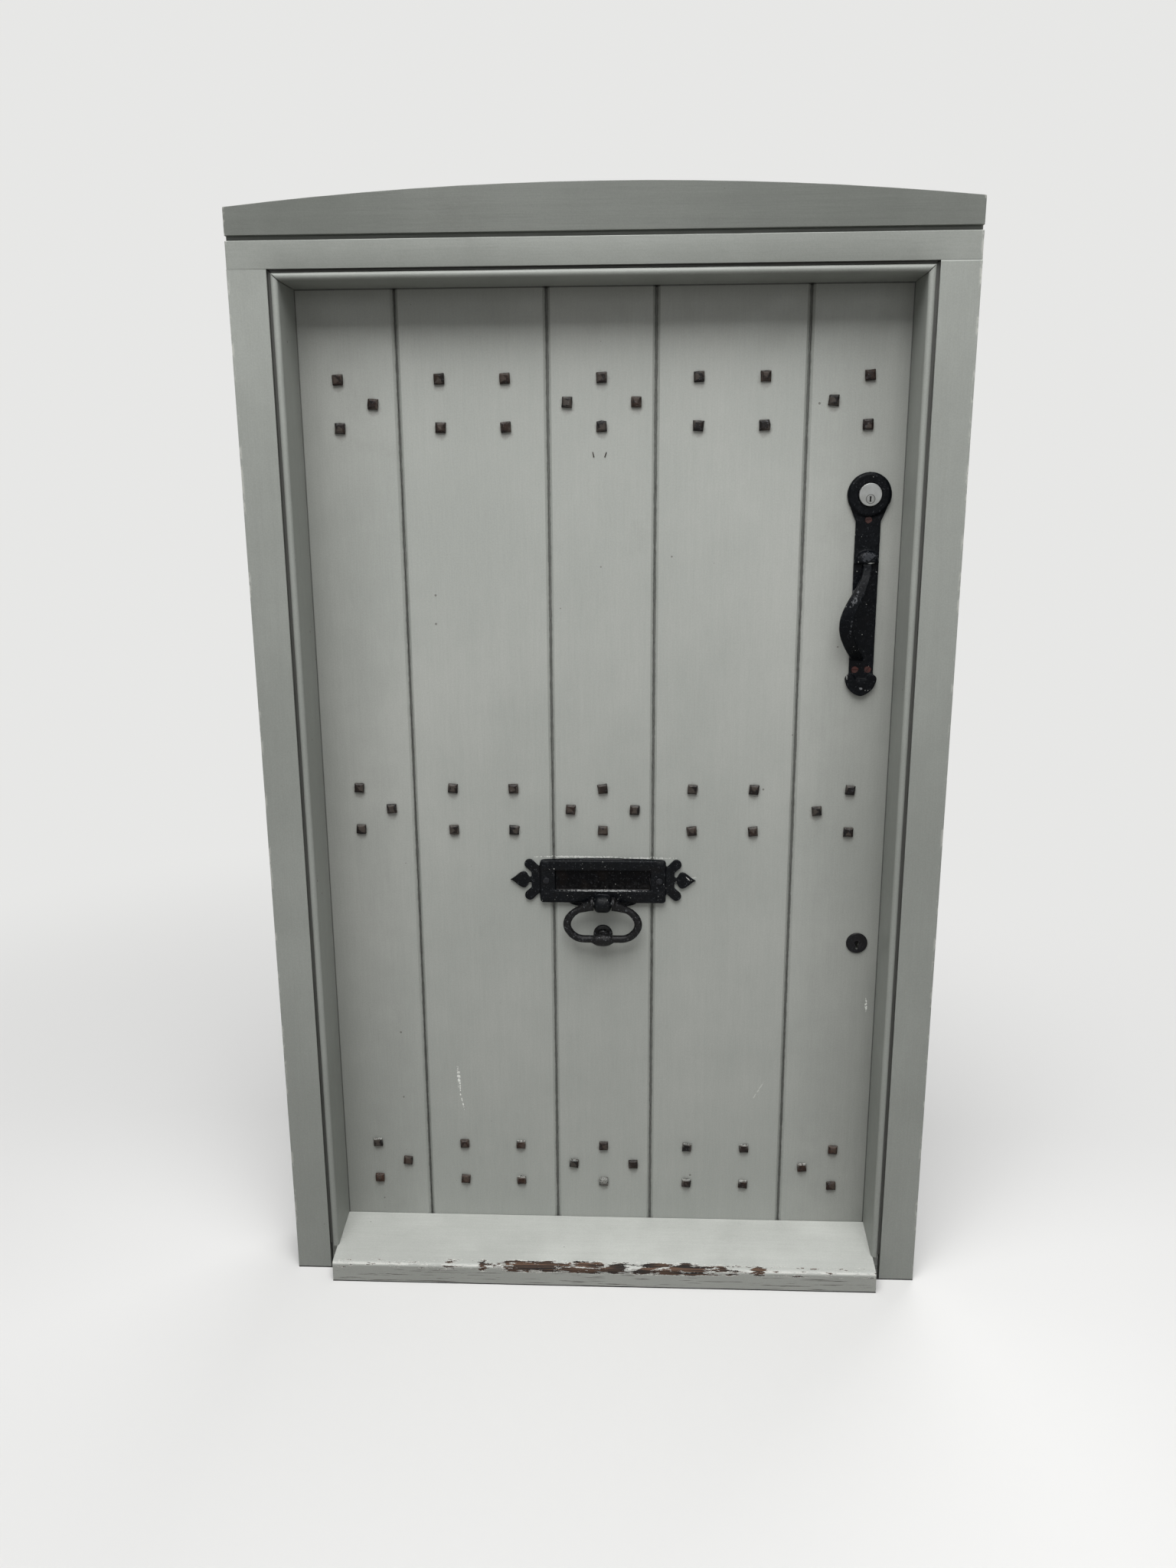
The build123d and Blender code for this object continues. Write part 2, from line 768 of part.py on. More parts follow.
def deadlock_case():
    body = case_shell(deadlock_case_x0, deadlock_case_depth, keyhole_z, deadlock_case_height)
    body += screw_pillars(deadlock_screws, deadlock_case_depth)
    body -= bolt_window(deadbolt_y0, deadbolt_thickness, deadbolt_z, deadbolt_height)
    body -= key_hole_tool(leaf_rear, far)
    for x, z in deadlock_screws:
        body -= case_screw(x, z, deadlock_case_depth)
    return body


def deadbolt():
    half = deadbolt_height / 2
    y1 = deadbolt_y0 + deadbolt_thickness
    x0 = leaf_right - deadbolt_length
    return box(x0, leaf_right, deadbolt_y0, y1, deadbolt_z - half, deadbolt_z + half)


def keep_screw_places(z, height):
    x = rebate_wall + keep_gap + keep_width / 2
    reach = height / 2 + keep_margin + keep_flange / 2
    return [(x, z - reach), (x, z + reach)]


def keep(bolt_z, bolt_height, depth):
    """A box keep on the rear face of the jamb that a rim bolt shoots into."""
    x0 = rebate_wall + keep_gap
    x1 = x0 + keep_width
    y0 = frame_rear
    half = bolt_height / 2 + keep_margin
    shell = box(x0, x1, y0, y0 + depth, bolt_z - half, bolt_z + half)
    shell -= box(
        x0 - 1, x1 - keep_wall, y0 + keep_wall, y0 + depth - keep_wall,
        bolt_z - half + keep_wall, bolt_z + half - keep_wall,
    )
    flange = half + keep_flange
    body = shell + box(x0, x1, y0, y0 + keep_wall, bolt_z - flange, bolt_z - half)
    body += box(x0, x1, y0, y0 + keep_wall, bolt_z + half, bolt_z + flange)
    for x, z in keep_screw_places(bolt_z, bolt_height):
        body -= screw(x, z, y0 + keep_wall, -1)
    return body


def cylinder_body():
    y1 = cylinder_length - cylinder_projection
    body = rod_y(cylinder_x, -cylinder_projection, y1, cylinder_z, cylinder_radius)
    rim = body.edges().filter_by(GeomType.CIRCLE).sort_by(Axis.Y)[0]
    body = chamfer(rim, 1.5 * cylinder_clearance)
    plug_z = cylinder_z - plug_drop
    body -= rod_y(cylinder_x, -far, far, plug_z, plug_radius + plug_clearance)
    for screw_solid in clamp_screws():
        body -= screw_solid
    return body


def cylinder_plug():
    plug_z = cylinder_z - plug_drop
    y0 = -cylinder_projection
    plug = rod_y(cylinder_x, y0, y0 + plug_length, plug_z, plug_radius)
    slot_w = key_slot_width / 2
    slot_h = key_slot_height / 2
    plug -= box(
        cylinder_x - slot_w, cylinder_x + slot_w, y0 - 1, y0 + key_slot_depth,
        plug_z - slot_h, plug_z + slot_h,
    )
    half_w = tail_bar_width / 2
    half_t = tail_bar_thickness / 2
    tail_end = leaf_rear + latch_case_depth / 3
    return plug + box(
        cylinder_x - half_t, cylinder_x + half_t, y0 + plug_length - 1, tail_end,
        plug_z - half_w, plug_z + half_w,
    )


def clamp_screws():
    y0 = cylinder_length - cylinder_projection - clamp_screw_bite
    y1 = leaf_rear + clamp_plate_thickness
    screws = []
    for side in (-1, 1):
        x = cylinder_x + side * clamp_screw_reach
        shank = rod_y(x, y0, y1, cylinder_z + plug_drop, clamp_screw_radius)
        head = rod_y(x, y1, y1 + clamp_screw_radius, cylinder_z + plug_drop, 2 * clamp_screw_radius)
        screws.append(shank + head)
    return screws


def clamp_plate():
    y1 = leaf_rear + clamp_plate_thickness
    plate = rod_y(cylinder_x, leaf_rear, y1, cylinder_z, clamp_plate_radius)
    plate -= rod_y(cylinder_x, leaf_rear - 1, y1 + 1, cylinder_z - plug_drop, plug_radius)
    for screw_solid in clamp_screws():
        plate -= screw_solid
    return plate


def grip():
    """The bowed strap: a side profile of two arcs, cut to a cranked outline seen from the front."""
    mid = -(grip_top + grip_bottom) / 2
    root_y = -handle_plate_depth / 2
    x0 = cylinder_x - far / 4
    outer = ThreePointArc(
        (x0, root_y, cylinder_z - grip_top),
        (x0, -grip_projection, cylinder_z + mid),
        (x0, root_y, cylinder_z - grip_bottom),
    )
    inner = ThreePointArc(
        (x0, root_y, cylinder_z - grip_bottom + grip_thickness * 1.3),
        (x0, grip_thickness - grip_projection, cylinder_z + mid),
        (x0, root_y, cylinder_z - grip_top - grip_thickness * 1.3),
    )
    ends = [Line(outer @ 1, inner @ 0), Line(inner @ 1, outer @ 0)]
    band = extrude(make_face([outer, inner] + ends), amount=far / 2, dir=(1, 0, 0))
    wide = grip_width / 2
    narrow = grip_end_width / 2
    top = grip_top - grip_thickness
    low = grip_bottom + grip_thickness
    run = low - top
    centre = [(0, top, narrow), (-grip_crank / 8, top + run / 5, narrow)]
    centre += [(-grip_crank * 0.8, top + run * 0.45, wide), (-grip_crank, top + run * 0.62, wide)]
    centre += [(-grip_crank * 0.6, top + run * 0.82, wide), (0, low, narrow)]
    y = -2 * grip_projection
    left = Spline(*[(cylinder_x + x - half, y, cylinder_z - z) for x, z, half in centre])
    right = Spline(*[(cylinder_x + x + half, y, cylinder_z - z) for x, z, half in centre])
    caps = [Line(left @ 0, right @ 0), Line(left @ 1, right @ 1)]
    outline = extrude(make_face([left, right] + caps), amount=2 * grip_projection, dir=(0, 1, 0))
    return band & outline


def handle_outline():
    plate_half = handle_plate_width / 2
    neck = [(-handle_neck_reach, -handle_neck_start), (handle_neck_reach, -handle_neck_start)]
    neck += [(plate_half, -handle_neck_end), (-plate_half, -handle_neck_end)]
    shape = Circle(handle_ring_radius) + make_face(Polyline(*neck, close=True))
    length = foot_shoulder_drop
    return shape + Pos(0, -length / 2) * Rectangle(handle_plate_width, length)


def foot_outline():
    """The pointed shield at the foot, with a round lobe at each shoulder."""
    reach = foot_half_width
    side = (foot_half_width * 0.72, -(foot_shoulder_drop * 0.38 + foot_tip_drop * 0.62))
    top = -foot_shoulder_drop
    tip = (0, -foot_tip_drop)
    right = ThreePointArc((reach, top), side, tip)
    left = ThreePointArc(tip, (-side[0], side[1]), (-reach, top))
    shape = make_face([right, left, Line((-reach, top), (reach, top))])
    for x in (-1, 1):
        shape += Pos(x * (reach - foot_lobe_radius), top) * Circle(foot_lobe_radius)
    return shape


def handle_screw_places():
    z = cylinder_z - lower_screw_drop
    lower = [(cylinder_x - lower_screw_reach, z), (cylinder_x + lower_screw_reach, z)]
    return [(cylinder_x, cylinder_z - upper_screw_drop)] + lower


def pull_handle():
    body = proud(handle_outline(), cylinder_x, cylinder_z, 0, handle_plate_depth)
    ring = rod_y(cylinder_x, -handle_ring_depth, 0, cylinder_z, handle_ring_radius)
    rim = ring.edges().filter_by(GeomType.CIRCLE).sort_by(Axis.Y)[0]
    body += fillet(rim, handle_ring_depth * 0.6)
    half = handle_plate_width / 2
    root = Pos(0, -handle_root_drop) * (Circle(half) & Pos(0, half) * Rectangle(4 * half, 2 * half))
    root_solid = proud(root, cylinder_x, cylinder_z, 0, handle_root_depth)
    dome = [e for e in root_solid.edges() if abs(e.center().Y + handle_root_depth) < 0.01]
    dome = [e for e in dome if e.geom_type == GeomType.CIRCLE]
    body += fillet(dome, handle_root_depth * 0.55)
    body += grip()
    body += proud(foot_outline(), cylinder_x, cylinder_z, 0, foot_depth)
    body -= rod_y(cylinder_x, -far, far, cylinder_z, cylinder_radius + cylinder_clearance)
    dimple_z = cylinder_z - (foot_shoulder_drop + foot_tip_drop) / 2
    body -= Pos(cylinder_x, -foot_depth, dimple_z) * Sphere(screw_head_radius / 2)
    for x, z in handle_screw_places():
        body -= screw(x, z, -handle_plate_depth, 1)
    return body


def finial():
    """A pointed leaf lying along +X from its neck, widest near the neck."""
    length = finial_length
    half = finial_height / 2
    rise = [(0, finial_neck_height / 2), (length * 0.32, half), (length * 0.66, half * 0.5), (length, 0)]
    upper = Spline(*rise)
    lower = Spline(*[(x, -y) for x, y in rise])
    return make_face([upper, lower, Line(upper @ 0, lower @ 0)])


def plate_top():
    return aperture_height / 2 + border_gap + upper_border_height


def plate_bottom():
    return -(aperture_height / 2 + border_gap + lower_border_height)


def plate_end():
    """The right end of the letterplate: a shield, two ears on diagonal arms and the finial."""
    root = plate_body_width / 2 - ear_radius
    neck_end = finial_tip_reach - finial_length
    shape = Pos((root + shield_reach) / 2, 0) * Rectangle(shield_reach - root, 2 * shield_half_height)
    shape += Pos((root + neck_end) / 2, 0) * Rectangle(neck_end - root, finial_neck_height)
    shape += Pos(neck_end, 0) * finial()
    for up in (-1, 1):
        shape += Pos(ear_reach, up * ear_rise) * Circle(ear_radius)
        outer = (ear_reach + ear_radius * 0.7, up * (ear_rise - ear_radius * 0.7))
        upper = (ear_reach - ear_radius * 0.6, up * (ear_rise + ear_radius * 0.8))
        arm = [(root, 0), (shield_reach, up * shield_half_height), outer, upper]
        shape += make_face(Polyline(*arm, (root, up * ear_rise / 2), close=True))
    return shape


def letterplate_outline():
    half_w = plate_body_width / 2
    top = plate_top()
    bottom = plate_bottom()
    body = RectangleRounded(plate_body_width, top - bottom, plate_corner)
    shape = Pos(0, (top + bottom) / 2) * body
    flat = half_w - plate_corner
    crown = ThreePointArc((-flat, top), (0, top + plate_arch_rise), (flat, top))
    shape += make_face([crown, Line(crown @ 0, crown @ 1)])
    shape += Pos(0, bottom) * Ellipse(apron_half_width, apron_drop + bottom)
    end = plate_end()
    return shape + end + mirror(end, about=Plane.YZ)


def raised_border(centre_z, height):
    bar = proud(
        RectangleRounded(plate_body_width, height, plate_corner),
        0, letterplate_z + centre_z, 0, plate_thickness + border_depth,
    )
    front = [e for e in bar.edges() if abs(e.center().Y + plate_thickness + border_depth) < 0.01]
    return fillet(front, border_fillet)


aperture_top = letterplate_z + aperture_height / 2
aperture_bottom = letterplate_z - aperture_height / 2
flap_rod_z = aperture_top + flap_rod_rise
flap_rod_y = -flap_knuckle_radius - trough_room / 2
slot_half = flap_width / 2 + slot_side_room
slot_top = flap_rod_z + flap_knuckle_radius + trough_room


def letter_slot():
    """The hole through the boards behind the flap."""
    return box(-slot_half, slot_half, -1, leaf_rear, aperture_bottom, slot_top)


def letterplate():
    body = proud(letterplate_outline(), 0, letterplate_z, 0, plate_thickness)
    body += raised_border(plate_top() - upper_border_height / 2, upper_border_height)
    body += raised_border(plate_bottom() + lower_border_height / 2, lower_border_height)
    half = knocker_boss_length / 2
    barrel = rod_x(-half, half, knocker_y, knocker_z, knocker_boss_radius)
    ends = barrel.edges().filter_by(GeomType.CIRCLE)
    body += fillet(ends, knocker_boss_rounding)
    neck_half = knocker_boss_length / 2 - knocker_boss_rounding / 2
    body += box(-neck_half, neck_half, knocker_y, 0,
                knocker_z - knocker_boss_radius * 0.7, knocker_z + knocker_boss_radius * 0.7)
    front = plate_thickness + border_depth
    body -= box(-aperture_width / 2, aperture_width / 2, -2 * front, 1, aperture_bottom, aperture_top)
    body -= box(-slot_half, slot_half, flap_rod_y - flap_knuckle_radius - trough_room / 2, 1,
                aperture_bottom, slot_top)
    seat = slot_half + rod_seat
    body -= rod_x(-seat, seat, flap_rod_y, flap_rod_z, flap_rod_radius)
    bore = knocker_pin_radius + knocker_pin_clearance
    body -= rod_x(-far, far, knocker_y, knocker_z, bore)
    for bolt in letterplate_bolts():
        body -= bolt
    return body


def flap_rod():
    seat = slot_half + rod_seat
    return rod_x(-seat, seat, flap_rod_y, flap_rod_z, flap_rod_radius)


def letter_flap():
    half = flap_width / 2
    y0 = flap_rod_y - flap_thickness / 2
    bottom = aperture_bottom + flap_clearance
    flap = box(-half, half, y0, y0 + flap_thickness, bottom, flap_rod_z)
    flap += rod_x(-half, half, flap_rod_y, flap_rod_z, flap_knuckle_radius)
    bore = flap_rod_radius + hinge_pin_clearance
    return flap - rod_x(-far, far, flap_rod_y, flap_rod_z, bore)


def letterplate_bolts():
    bolts = []
    for side in (-1, 1):
        x = side * plate_bolt_reach
        y0 = -plate_thickness
        end = board_thickness + plate_bolt_tail
        bolt = rod_y(x, y0, end, letterplate_z, plate_bolt_radius)
        head = rod_y(x, y0 - plate_bolt_head_height, y0, letterplate_z, plate_bolt_head_radius)
        rim = head.edges().filter_by(GeomType.CIRCLE).sort_by(Axis.Y)[0]
        bolts.append(bolt + fillet(rim, plate_bolt_head_height * 0.7))
    return bolts


def letterplate_nuts():
    nuts = []
    for side in (-1, 1):
        plane = Plane(origin=(side * plate_bolt_reach, board_thickness, letterplate_z),
                      x_dir=(1, 0, 0), z_dir=(0, 1, 0))
        hexagon = RegularPolygon(nut_across_flats / 2, 6, major_radius=False)
        nuts.append(extrude(plane * (hexagon - Circle(plate_bolt_radius)), amount=nut_height))
    return nuts


def knocker_corners():
    """Corners of the stirrup's middle line from the right eye to the left one, as (x, fall)."""
    start = knocker_boss_length / 2 + knocker_side_gap + knocker_eye_width / 2
    shares = [(0.86, 0.24), (1.06, 0.62), (0.76, 1.0)]
    side = [(start, knocker_bar_radius / 3)]
    side += [(x * knocker_reach, fall * knocker_fall) for x, fall in shares]
    return side + [(-x, fall) for x, fall in reversed(side)]


def soft_radii(points):
    """For each corner of a path, the arc that takes up nearly half of its shorter run."""
    radii = []
    for before, corner, after in zip(points, points[1:], points[2:]):
        back = Vector(*before) - Vector(*corner)
        on = Vector(*after) - Vector(*corner)
        turn = math.radians(180 - back.get_angle(on))
        radii.append(0.48 * min(back.length, on.length) / math.tan(turn / 2))
    return radii


def knocker_root(path):
    """The cone that thickens the stirrup's bar towards its right eye."""
    start = Plane(origin=path @ 0, z_dir=path % 0)
    end_radius = knocker_bar_radius - knocker_side_gap
    cone = Cone(knocker_root_radius, end_radius, knocker_root_length)
    return start * Pos(0, 0, knocker_root_length / 2) * cone


def knocker_knob():
    """The swelling in the middle of the stirrup's bar, turned about the bar's own line."""
    half = knocker_knob_length / 2
    low = knocker_bar_radius - knocker_side_gap
    rise = ThreePointArc((-half, low), (0, knocker_knob_radius), (half, low))
    profile = make_face([rise, Polyline((half, low), (half, 0), (-half, 0), (-half, low))])
    return Pos(0, knocker_y, knocker_z - knocker_fall) * revolve(profile, axis=Axis.X)


def knocker_ring():
    """The stirrup: a smooth bar with thick roots at its eyes and a swelling in its middle."""
    eye_x = knocker_boss_length / 2 + knocker_side_gap
    points = [(x, knocker_y, knocker_z - fall) for x, fall in knocker_corners()]
    path = FilletPolyline(*points, radius=soft_radii(points))
    ring = sweep(Plane(origin=path @ 0, z_dir=path % 0) * Circle(knocker_bar_radius), path)
    eye = rod_x(eye_x, eye_x + knocker_eye_width, knocker_y, knocker_z, knocker_eye_radius)
    eye = fillet(eye.edges().filter_by(GeomType.CIRCLE), knocker_eye_width / 4)
    side = eye + knocker_root(path)
    side -= box(-eye_x, eye_x, knocker_y - far, knocker_y + far, knocker_z - far, knocker_z + far)
    ring -= box(-eye_x, eye_x, knocker_y - far, knocker_y + far,
                knocker_z - knocker_boss_radius, knocker_z + far)
    return ring + side + mirrored(side) + knocker_knob() - knocker_pin()


def knocker_pin():
    reach = knocker_boss_length / 2 + knocker_side_gap + knocker_eye_width
    return rod_x(-reach, reach, knocker_y, knocker_z, knocker_pin_radius)


def knocker_stud():
    """A dome on a flared base that the knocker strikes."""
    height = -knocker_y - knocker_knob_radius - knocker_stud_gap
    z = knocker_z - knocker_fall + knocker_stud_rise
    base = rod_y(0, -knocker_stud_base_height, 0, z, knocker_stud_base_radius)
    rim = base.edges().filter_by(GeomType.CIRCLE).sort_by(Axis.Y)[0]
    base = fillet(rim, knocker_stud_base_height * 0.8)
    cap = rod_y(0, -height, 0, z, knocker_stud_cap_radius)
    lip = cap.edges().filter_by(GeomType.CIRCLE).sort_by(Axis.Y)[0]
    cap = fillet(lip, height * 0.45)
    return base + cap + rod_y(0, 0, board_thickness / 2, z, stud_shank / 2)


def together(solids):
    return Compound(children=list(solids))


def leaf_holes():
    """Everything that is bored or cut through the boards and the lock blocks."""
    tools = [letter_slot(), key_hole_tool(-1, leaf_rear + 1)]
    bore = cylinder_radius + cylinder_clearance
    tools.append(rod_y(cylinder_x, -1, leaf_rear + 1, cylinder_z, bore))
    tools += letterplate_bolts()
    tools += [screw(x, z, -handle_plate_depth, 1) for x, z in handle_screw_places()]
    tools.append(knocker_stud())
    return tools


def rear_screw_groups():
    """Screws driven from the inside, as (leaf, frame, locks, keeps)."""
    rear = frame_rear + hinge_plate_thickness
    rows = (top_ledge, bottom_ledge)
    leaf = [screw(x, z, rear, -1) for row in rows for x, z in strap_screw_places(row)]
    frame = [screw(x, z, rear, -1) for row in rows for x, z in cross_plate_screw_places(row)]
    locks = [case_screw(x, z, latch_case_depth) for x, z in latch_screws]
    locks += [case_screw(x, z, deadlock_case_depth) for x, z in deadlock_screws]
    keep_rows = ((latch_bolt_z, latch_bolt_height), (deadbolt_z, deadbolt_height))
    keeps = [
        screw(x, z, frame_rear + keep_wall, -1)
        for bolt_z, height in keep_rows for x, z in keep_screw_places(bolt_z, height)
    ]
    return leaf, frame, locks, keeps


def meets(tool, solid):
    a = tool.bounding_box()
    b = solid.bounding_box()
    apart = a.max.X <= b.min.X or b.max.X <= a.min.X
    apart = apart or a.max.Y <= b.min.Y or b.max.Y <= a.min.Y
    return not (apart or a.max.Z <= b.min.Z or b.max.Z <= a.min.Z)


def bored(solid, tools):
    for tool in tools:
        if meets(tool, solid):
            solid = solid - tool
    return solid


def build():
    leaf_screws, frame_screws, lock_screws, keep_screws = rear_screw_groups()
    holes = leaf_holes()
    rows = {"top": top_ledge, "middle": middle_ledge, "bottom": bottom_ledge}
    shanks = [shank for row in rows.values() for shank in stud_shanks(row)]
    nodes = {}
    jamb = right_jamb()
    nodes["jamb_right"] = bored(jamb, keep_screws)
    nodes["jamb_left"] = bored(mirrored(jamb), frame_screws)
    nodes["head"] = head()
    nodes["arched_head_board"] = arched_head_board()
    nodes["sill"] = sill()
    nodes["damp_strip"] = bed_strip()
    for number in range(1, 6):
        nodes[f"board_{number}"] = bored(board(number), holes + shanks)
    for name, row in rows.items():
        nodes[f"ledge_{name}"] = bored(ledge(row), leaf_screws)
        nodes[f"studs_{name}"] = together(stud_row(row))
    nodes["brace_lower"] = brace(bottom_ledge, middle_ledge, lower_brace_head())
    nodes["brace_upper"] = brace(middle_ledge, top_ledge, leaf_right - brace_lock_inset)
    nodes["lock_block_upper"] = bored(lock_block(cylinder_z), holes + lock_screws)
    nodes["lock_block_lower"] = bored(lock_block(keyhole_z), holes + lock_screws)
    for name in ("top", "bottom"):
        nodes[f"hinge_cross_plate_{name}"] = cross_plate(rows[name])
        nodes[f"hinge_strap_{name}"] = hinge_strap(rows[name])
        nodes[f"hinge_pin_{name}"] = hinge_pin(rows[name])
    nodes["hinge_screws_leaf"] = together(leaf_screws)
    nodes["hinge_screws_frame"] = together(frame_screws)
    nodes["lock_screws"] = together(lock_screws)
    nodes["keep_screws"] = together(keep_screws)
    nodes["pull_handle"] = pull_handle()
    nodes["handle_screws"] = together(
        screw(x, z, -handle_plate_depth, 1) for x, z in handle_screw_places()
    )
    nodes["cylinder_body"] = cylinder_body()
    nodes["cylinder_plug"] = cylinder_plug()
    nodes["cylinder_clamp_plate"] = clamp_plate()
    nodes["cylinder_clamp_screws"] = together(clamp_screws())
    nodes["night_latch_case"] = night_latch_case()
    nodes["latch_bolt"] = latch_bolt()
    nodes["latch_knob"] = latch_knob()
    nodes["latch_keep"] = keep(latch_bolt_z, latch_bolt_height, latch_case_depth)
    nodes["keyhole_escutcheon"] = keyhole_escutcheon()
    nodes["deadlock_case"] = deadlock_case()
    nodes["deadbolt"] = deadbolt()
    nodes["deadlock_keep"] = keep(deadbolt_z, deadbolt_height, deadlock_case_depth)
    nodes["letterplate"] = letterplate()
    nodes["letterplate_bolts"] = together(letterplate_bolts())
    nodes["letterplate_nuts"] = together(letterplate_nuts())
    nodes["flap_rod"] = flap_rod()
    nodes["letter_flap"] = letter_flap()
    nodes["knocker_ring"] = knocker_ring()
    nodes["knocker_pin"] = knocker_pin()
    nodes["knocker_stud"] = knocker_stud()
    return nodes


os.makedirs("parts", exist_ok=True)
for node, shape in build().items():
    export_step(shape, f"parts/{node}.step")
    print(node)
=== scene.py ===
# %% [markdown]
# # A boarded cottage door
# The door is five painted boards with V joints, nailed with square iron studs to ledges behind.
# It hangs in a beaded frame with an arched board above and a sloping sill below.
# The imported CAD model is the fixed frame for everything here. Blender adds worn edges,
# forged and cast surfaces, old paint, rust and light.

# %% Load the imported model
import json
import math
import random

import bmesh
import bpy
from mathutils import Matrix, Vector, noise


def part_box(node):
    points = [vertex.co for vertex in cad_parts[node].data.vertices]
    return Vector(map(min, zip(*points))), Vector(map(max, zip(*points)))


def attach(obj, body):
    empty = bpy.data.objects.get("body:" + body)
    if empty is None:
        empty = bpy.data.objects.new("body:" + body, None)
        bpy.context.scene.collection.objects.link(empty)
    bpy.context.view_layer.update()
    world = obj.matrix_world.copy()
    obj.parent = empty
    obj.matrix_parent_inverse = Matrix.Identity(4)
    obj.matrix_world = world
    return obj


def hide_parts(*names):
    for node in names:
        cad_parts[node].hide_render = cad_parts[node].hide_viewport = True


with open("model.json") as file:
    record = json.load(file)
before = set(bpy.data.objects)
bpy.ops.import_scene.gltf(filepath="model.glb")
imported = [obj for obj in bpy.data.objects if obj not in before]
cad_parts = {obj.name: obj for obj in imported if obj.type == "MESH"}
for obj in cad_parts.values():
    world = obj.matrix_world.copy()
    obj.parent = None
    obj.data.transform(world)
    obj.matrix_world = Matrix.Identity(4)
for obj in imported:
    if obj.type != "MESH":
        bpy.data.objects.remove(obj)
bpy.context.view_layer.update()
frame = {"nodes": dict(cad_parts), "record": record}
body_of_node = {}
for body, nodes in frame["record"]["behaviour"]["bodies"].items():
    body_of_node.update(dict.fromkeys(nodes, body))


# %% Helpers: meshes and objects
def stored(build, name):
    """The mesh of a finished build, which is then freed."""
    mesh = bpy.data.meshes.new(name)
    build.to_mesh(mesh)
    build.free()
    return mesh


def new_object(name, data):
    made = bpy.data.objects.new(name, data)
    bpy.context.collection.objects.link(made)
    return made


# %% [markdown]
# ## Camera
# The photograph was taken by hand, just right of the middle of the door at chest height, and
# the camera looks a little down and to the left. A wide lens makes the uprights lean.
# These values come from fitting the door's own edges, so the render can be laid over the view.

# %% Set the camera
camera_place = Vector((0.0581, -1.8676, 1.3126))
camera_tilt = 76.07
camera_roll = 0.320
camera_turn = 2.431
camera_data = bpy.data.cameras.new("camera")
camera_data.sensor_fit = "VERTICAL"
camera_data.sensor_height = 36.0
camera_data.lens = 27.27
camera = new_object("camera", camera_data)
camera.location = camera_place
camera.rotation_euler = [math.radians(a) for a in (camera_tilt, camera_roll, camera_turn)]
bpy.context.scene.camera = camera
print("camera at", tuple(camera.location))

# %% [markdown]
# ## Small helpers for shaders
# A procedural finish is many small sums. These helpers add a node, feed its inputs with numbers
# or with other nodes' outputs, and hand back the output, so that a finish reads as a recipe.

# %% Helpers: add a node and feed it
def tone(code):
    """A linear colour from a hex code as a paint chart gives it."""
    parts = [int(code[i:i + 2], 16) / 255 for i in (0, 2, 4)]
    return [c / 12.92 if c <= 0.04045 else ((c + 0.055) / 1.055) ** 2.4 for c in parts] + [1.0]


def feed(tree, socket, value):
    if isinstance(value, bpy.types.NodeSocket):
        tree.links.new(value, socket)
    else:
        socket.default_value = value


def add_node(tree, kind, inputs=(), **settings):
    """A shader node with its settings made first and its inputs, by name or number, fed next."""
    step = tree.nodes.new("ShaderNode" + kind)
    for label, value in settings.items():
        setattr(step, label, value)
    for label, value in dict(inputs).items():
        feed(tree, step.inputs[label], value)
    return step


# %% Helpers: sums
def maths(tree, operation, *values):
    step = add_node(tree, "Math", operation=operation)
    for socket, value in zip(step.inputs, values):
        feed(tree, socket, value)
    return step.outputs[0]


def plus(tree, first, second):
    return maths(tree, "ADD", first, second)


def minus(tree, first, second):
    return maths(tree, "SUBTRACT", first, second)


def times(tree, first, second):
    return maths(tree, "MULTIPLY", first, second)


def squared(tree, value):
    return maths(tree, "POWER", value, 2.0)


def summed(tree, first, *others):
    """The sum of patterns, each given with its weight."""
    total = times(tree, *first)
    for pattern, weight in others:
        total = plus(tree, total, times(tree, pattern, weight))
    return total


def swing(tree, pattern, amount):
    """A pattern moved to swing about zero."""
    return times(tree, minus(tree, pattern, 0.5), amount)


def axes(tree, place):
    return add_node(tree, "SeparateXYZ", {"Vector": place}).outputs


def band(tree, value, low, high, out_low=0.0, out_high=1.0):
    """A soft step: out_low below low, out_high above high."""
    inputs = {"Value": value, "From Min": low, "From Max": high, "To Min": out_low, "To Max": out_high}
    return add_node(tree, "MapRange", inputs, interpolation_type="SMOOTHSTEP").outputs["Result"]


# %% Helpers: patterns and mixes
def cloud(tree, place, scale, detail=3.0, rough=0.55):
    inputs = {"Vector": place, "Scale": scale, "Detail": detail, "Roughness": rough}
    return add_node(tree, "TexNoise", inputs).outputs["Fac"]


def streaked(tree, place, stretch, detail, rough):
    """A cloud scaled along each axis, so that it draws out along the smallest number."""
    scaled = add_node(tree, "VectorMath", {0: place, 1: stretch}, operation="MULTIPLY")
    return cloud(tree, scaled.outputs[0], 1.0, detail, rough)


def cells(tree, place, scale):
    """Scattered cells: the distance to the nearest middle, and each cell's own random colour."""
    field = add_node(tree, "TexVoronoi", {"Vector": place, "Scale": scale})
    pick = add_node(tree, "SeparateColor", {"Color": field.outputs["Color"]})
    return field.outputs["Distance"], pick.outputs


def mixed(tree, amount, under, over, kind="MIX"):
    inputs = {"Factor": amount, "A": under, "B": over}
    return add_node(tree, "Mix", inputs, data_type="RGBA", blend_type=kind).outputs["Result"]


# %% Helpers: groups and materials
FLOAT = "NodeSocketFloat"
COLOUR = "NodeSocketColor"
VECTOR = "NodeSocketVector"
PLACE = ("Place", VECTOR, None)
MASK = ("Mask", FLOAT)


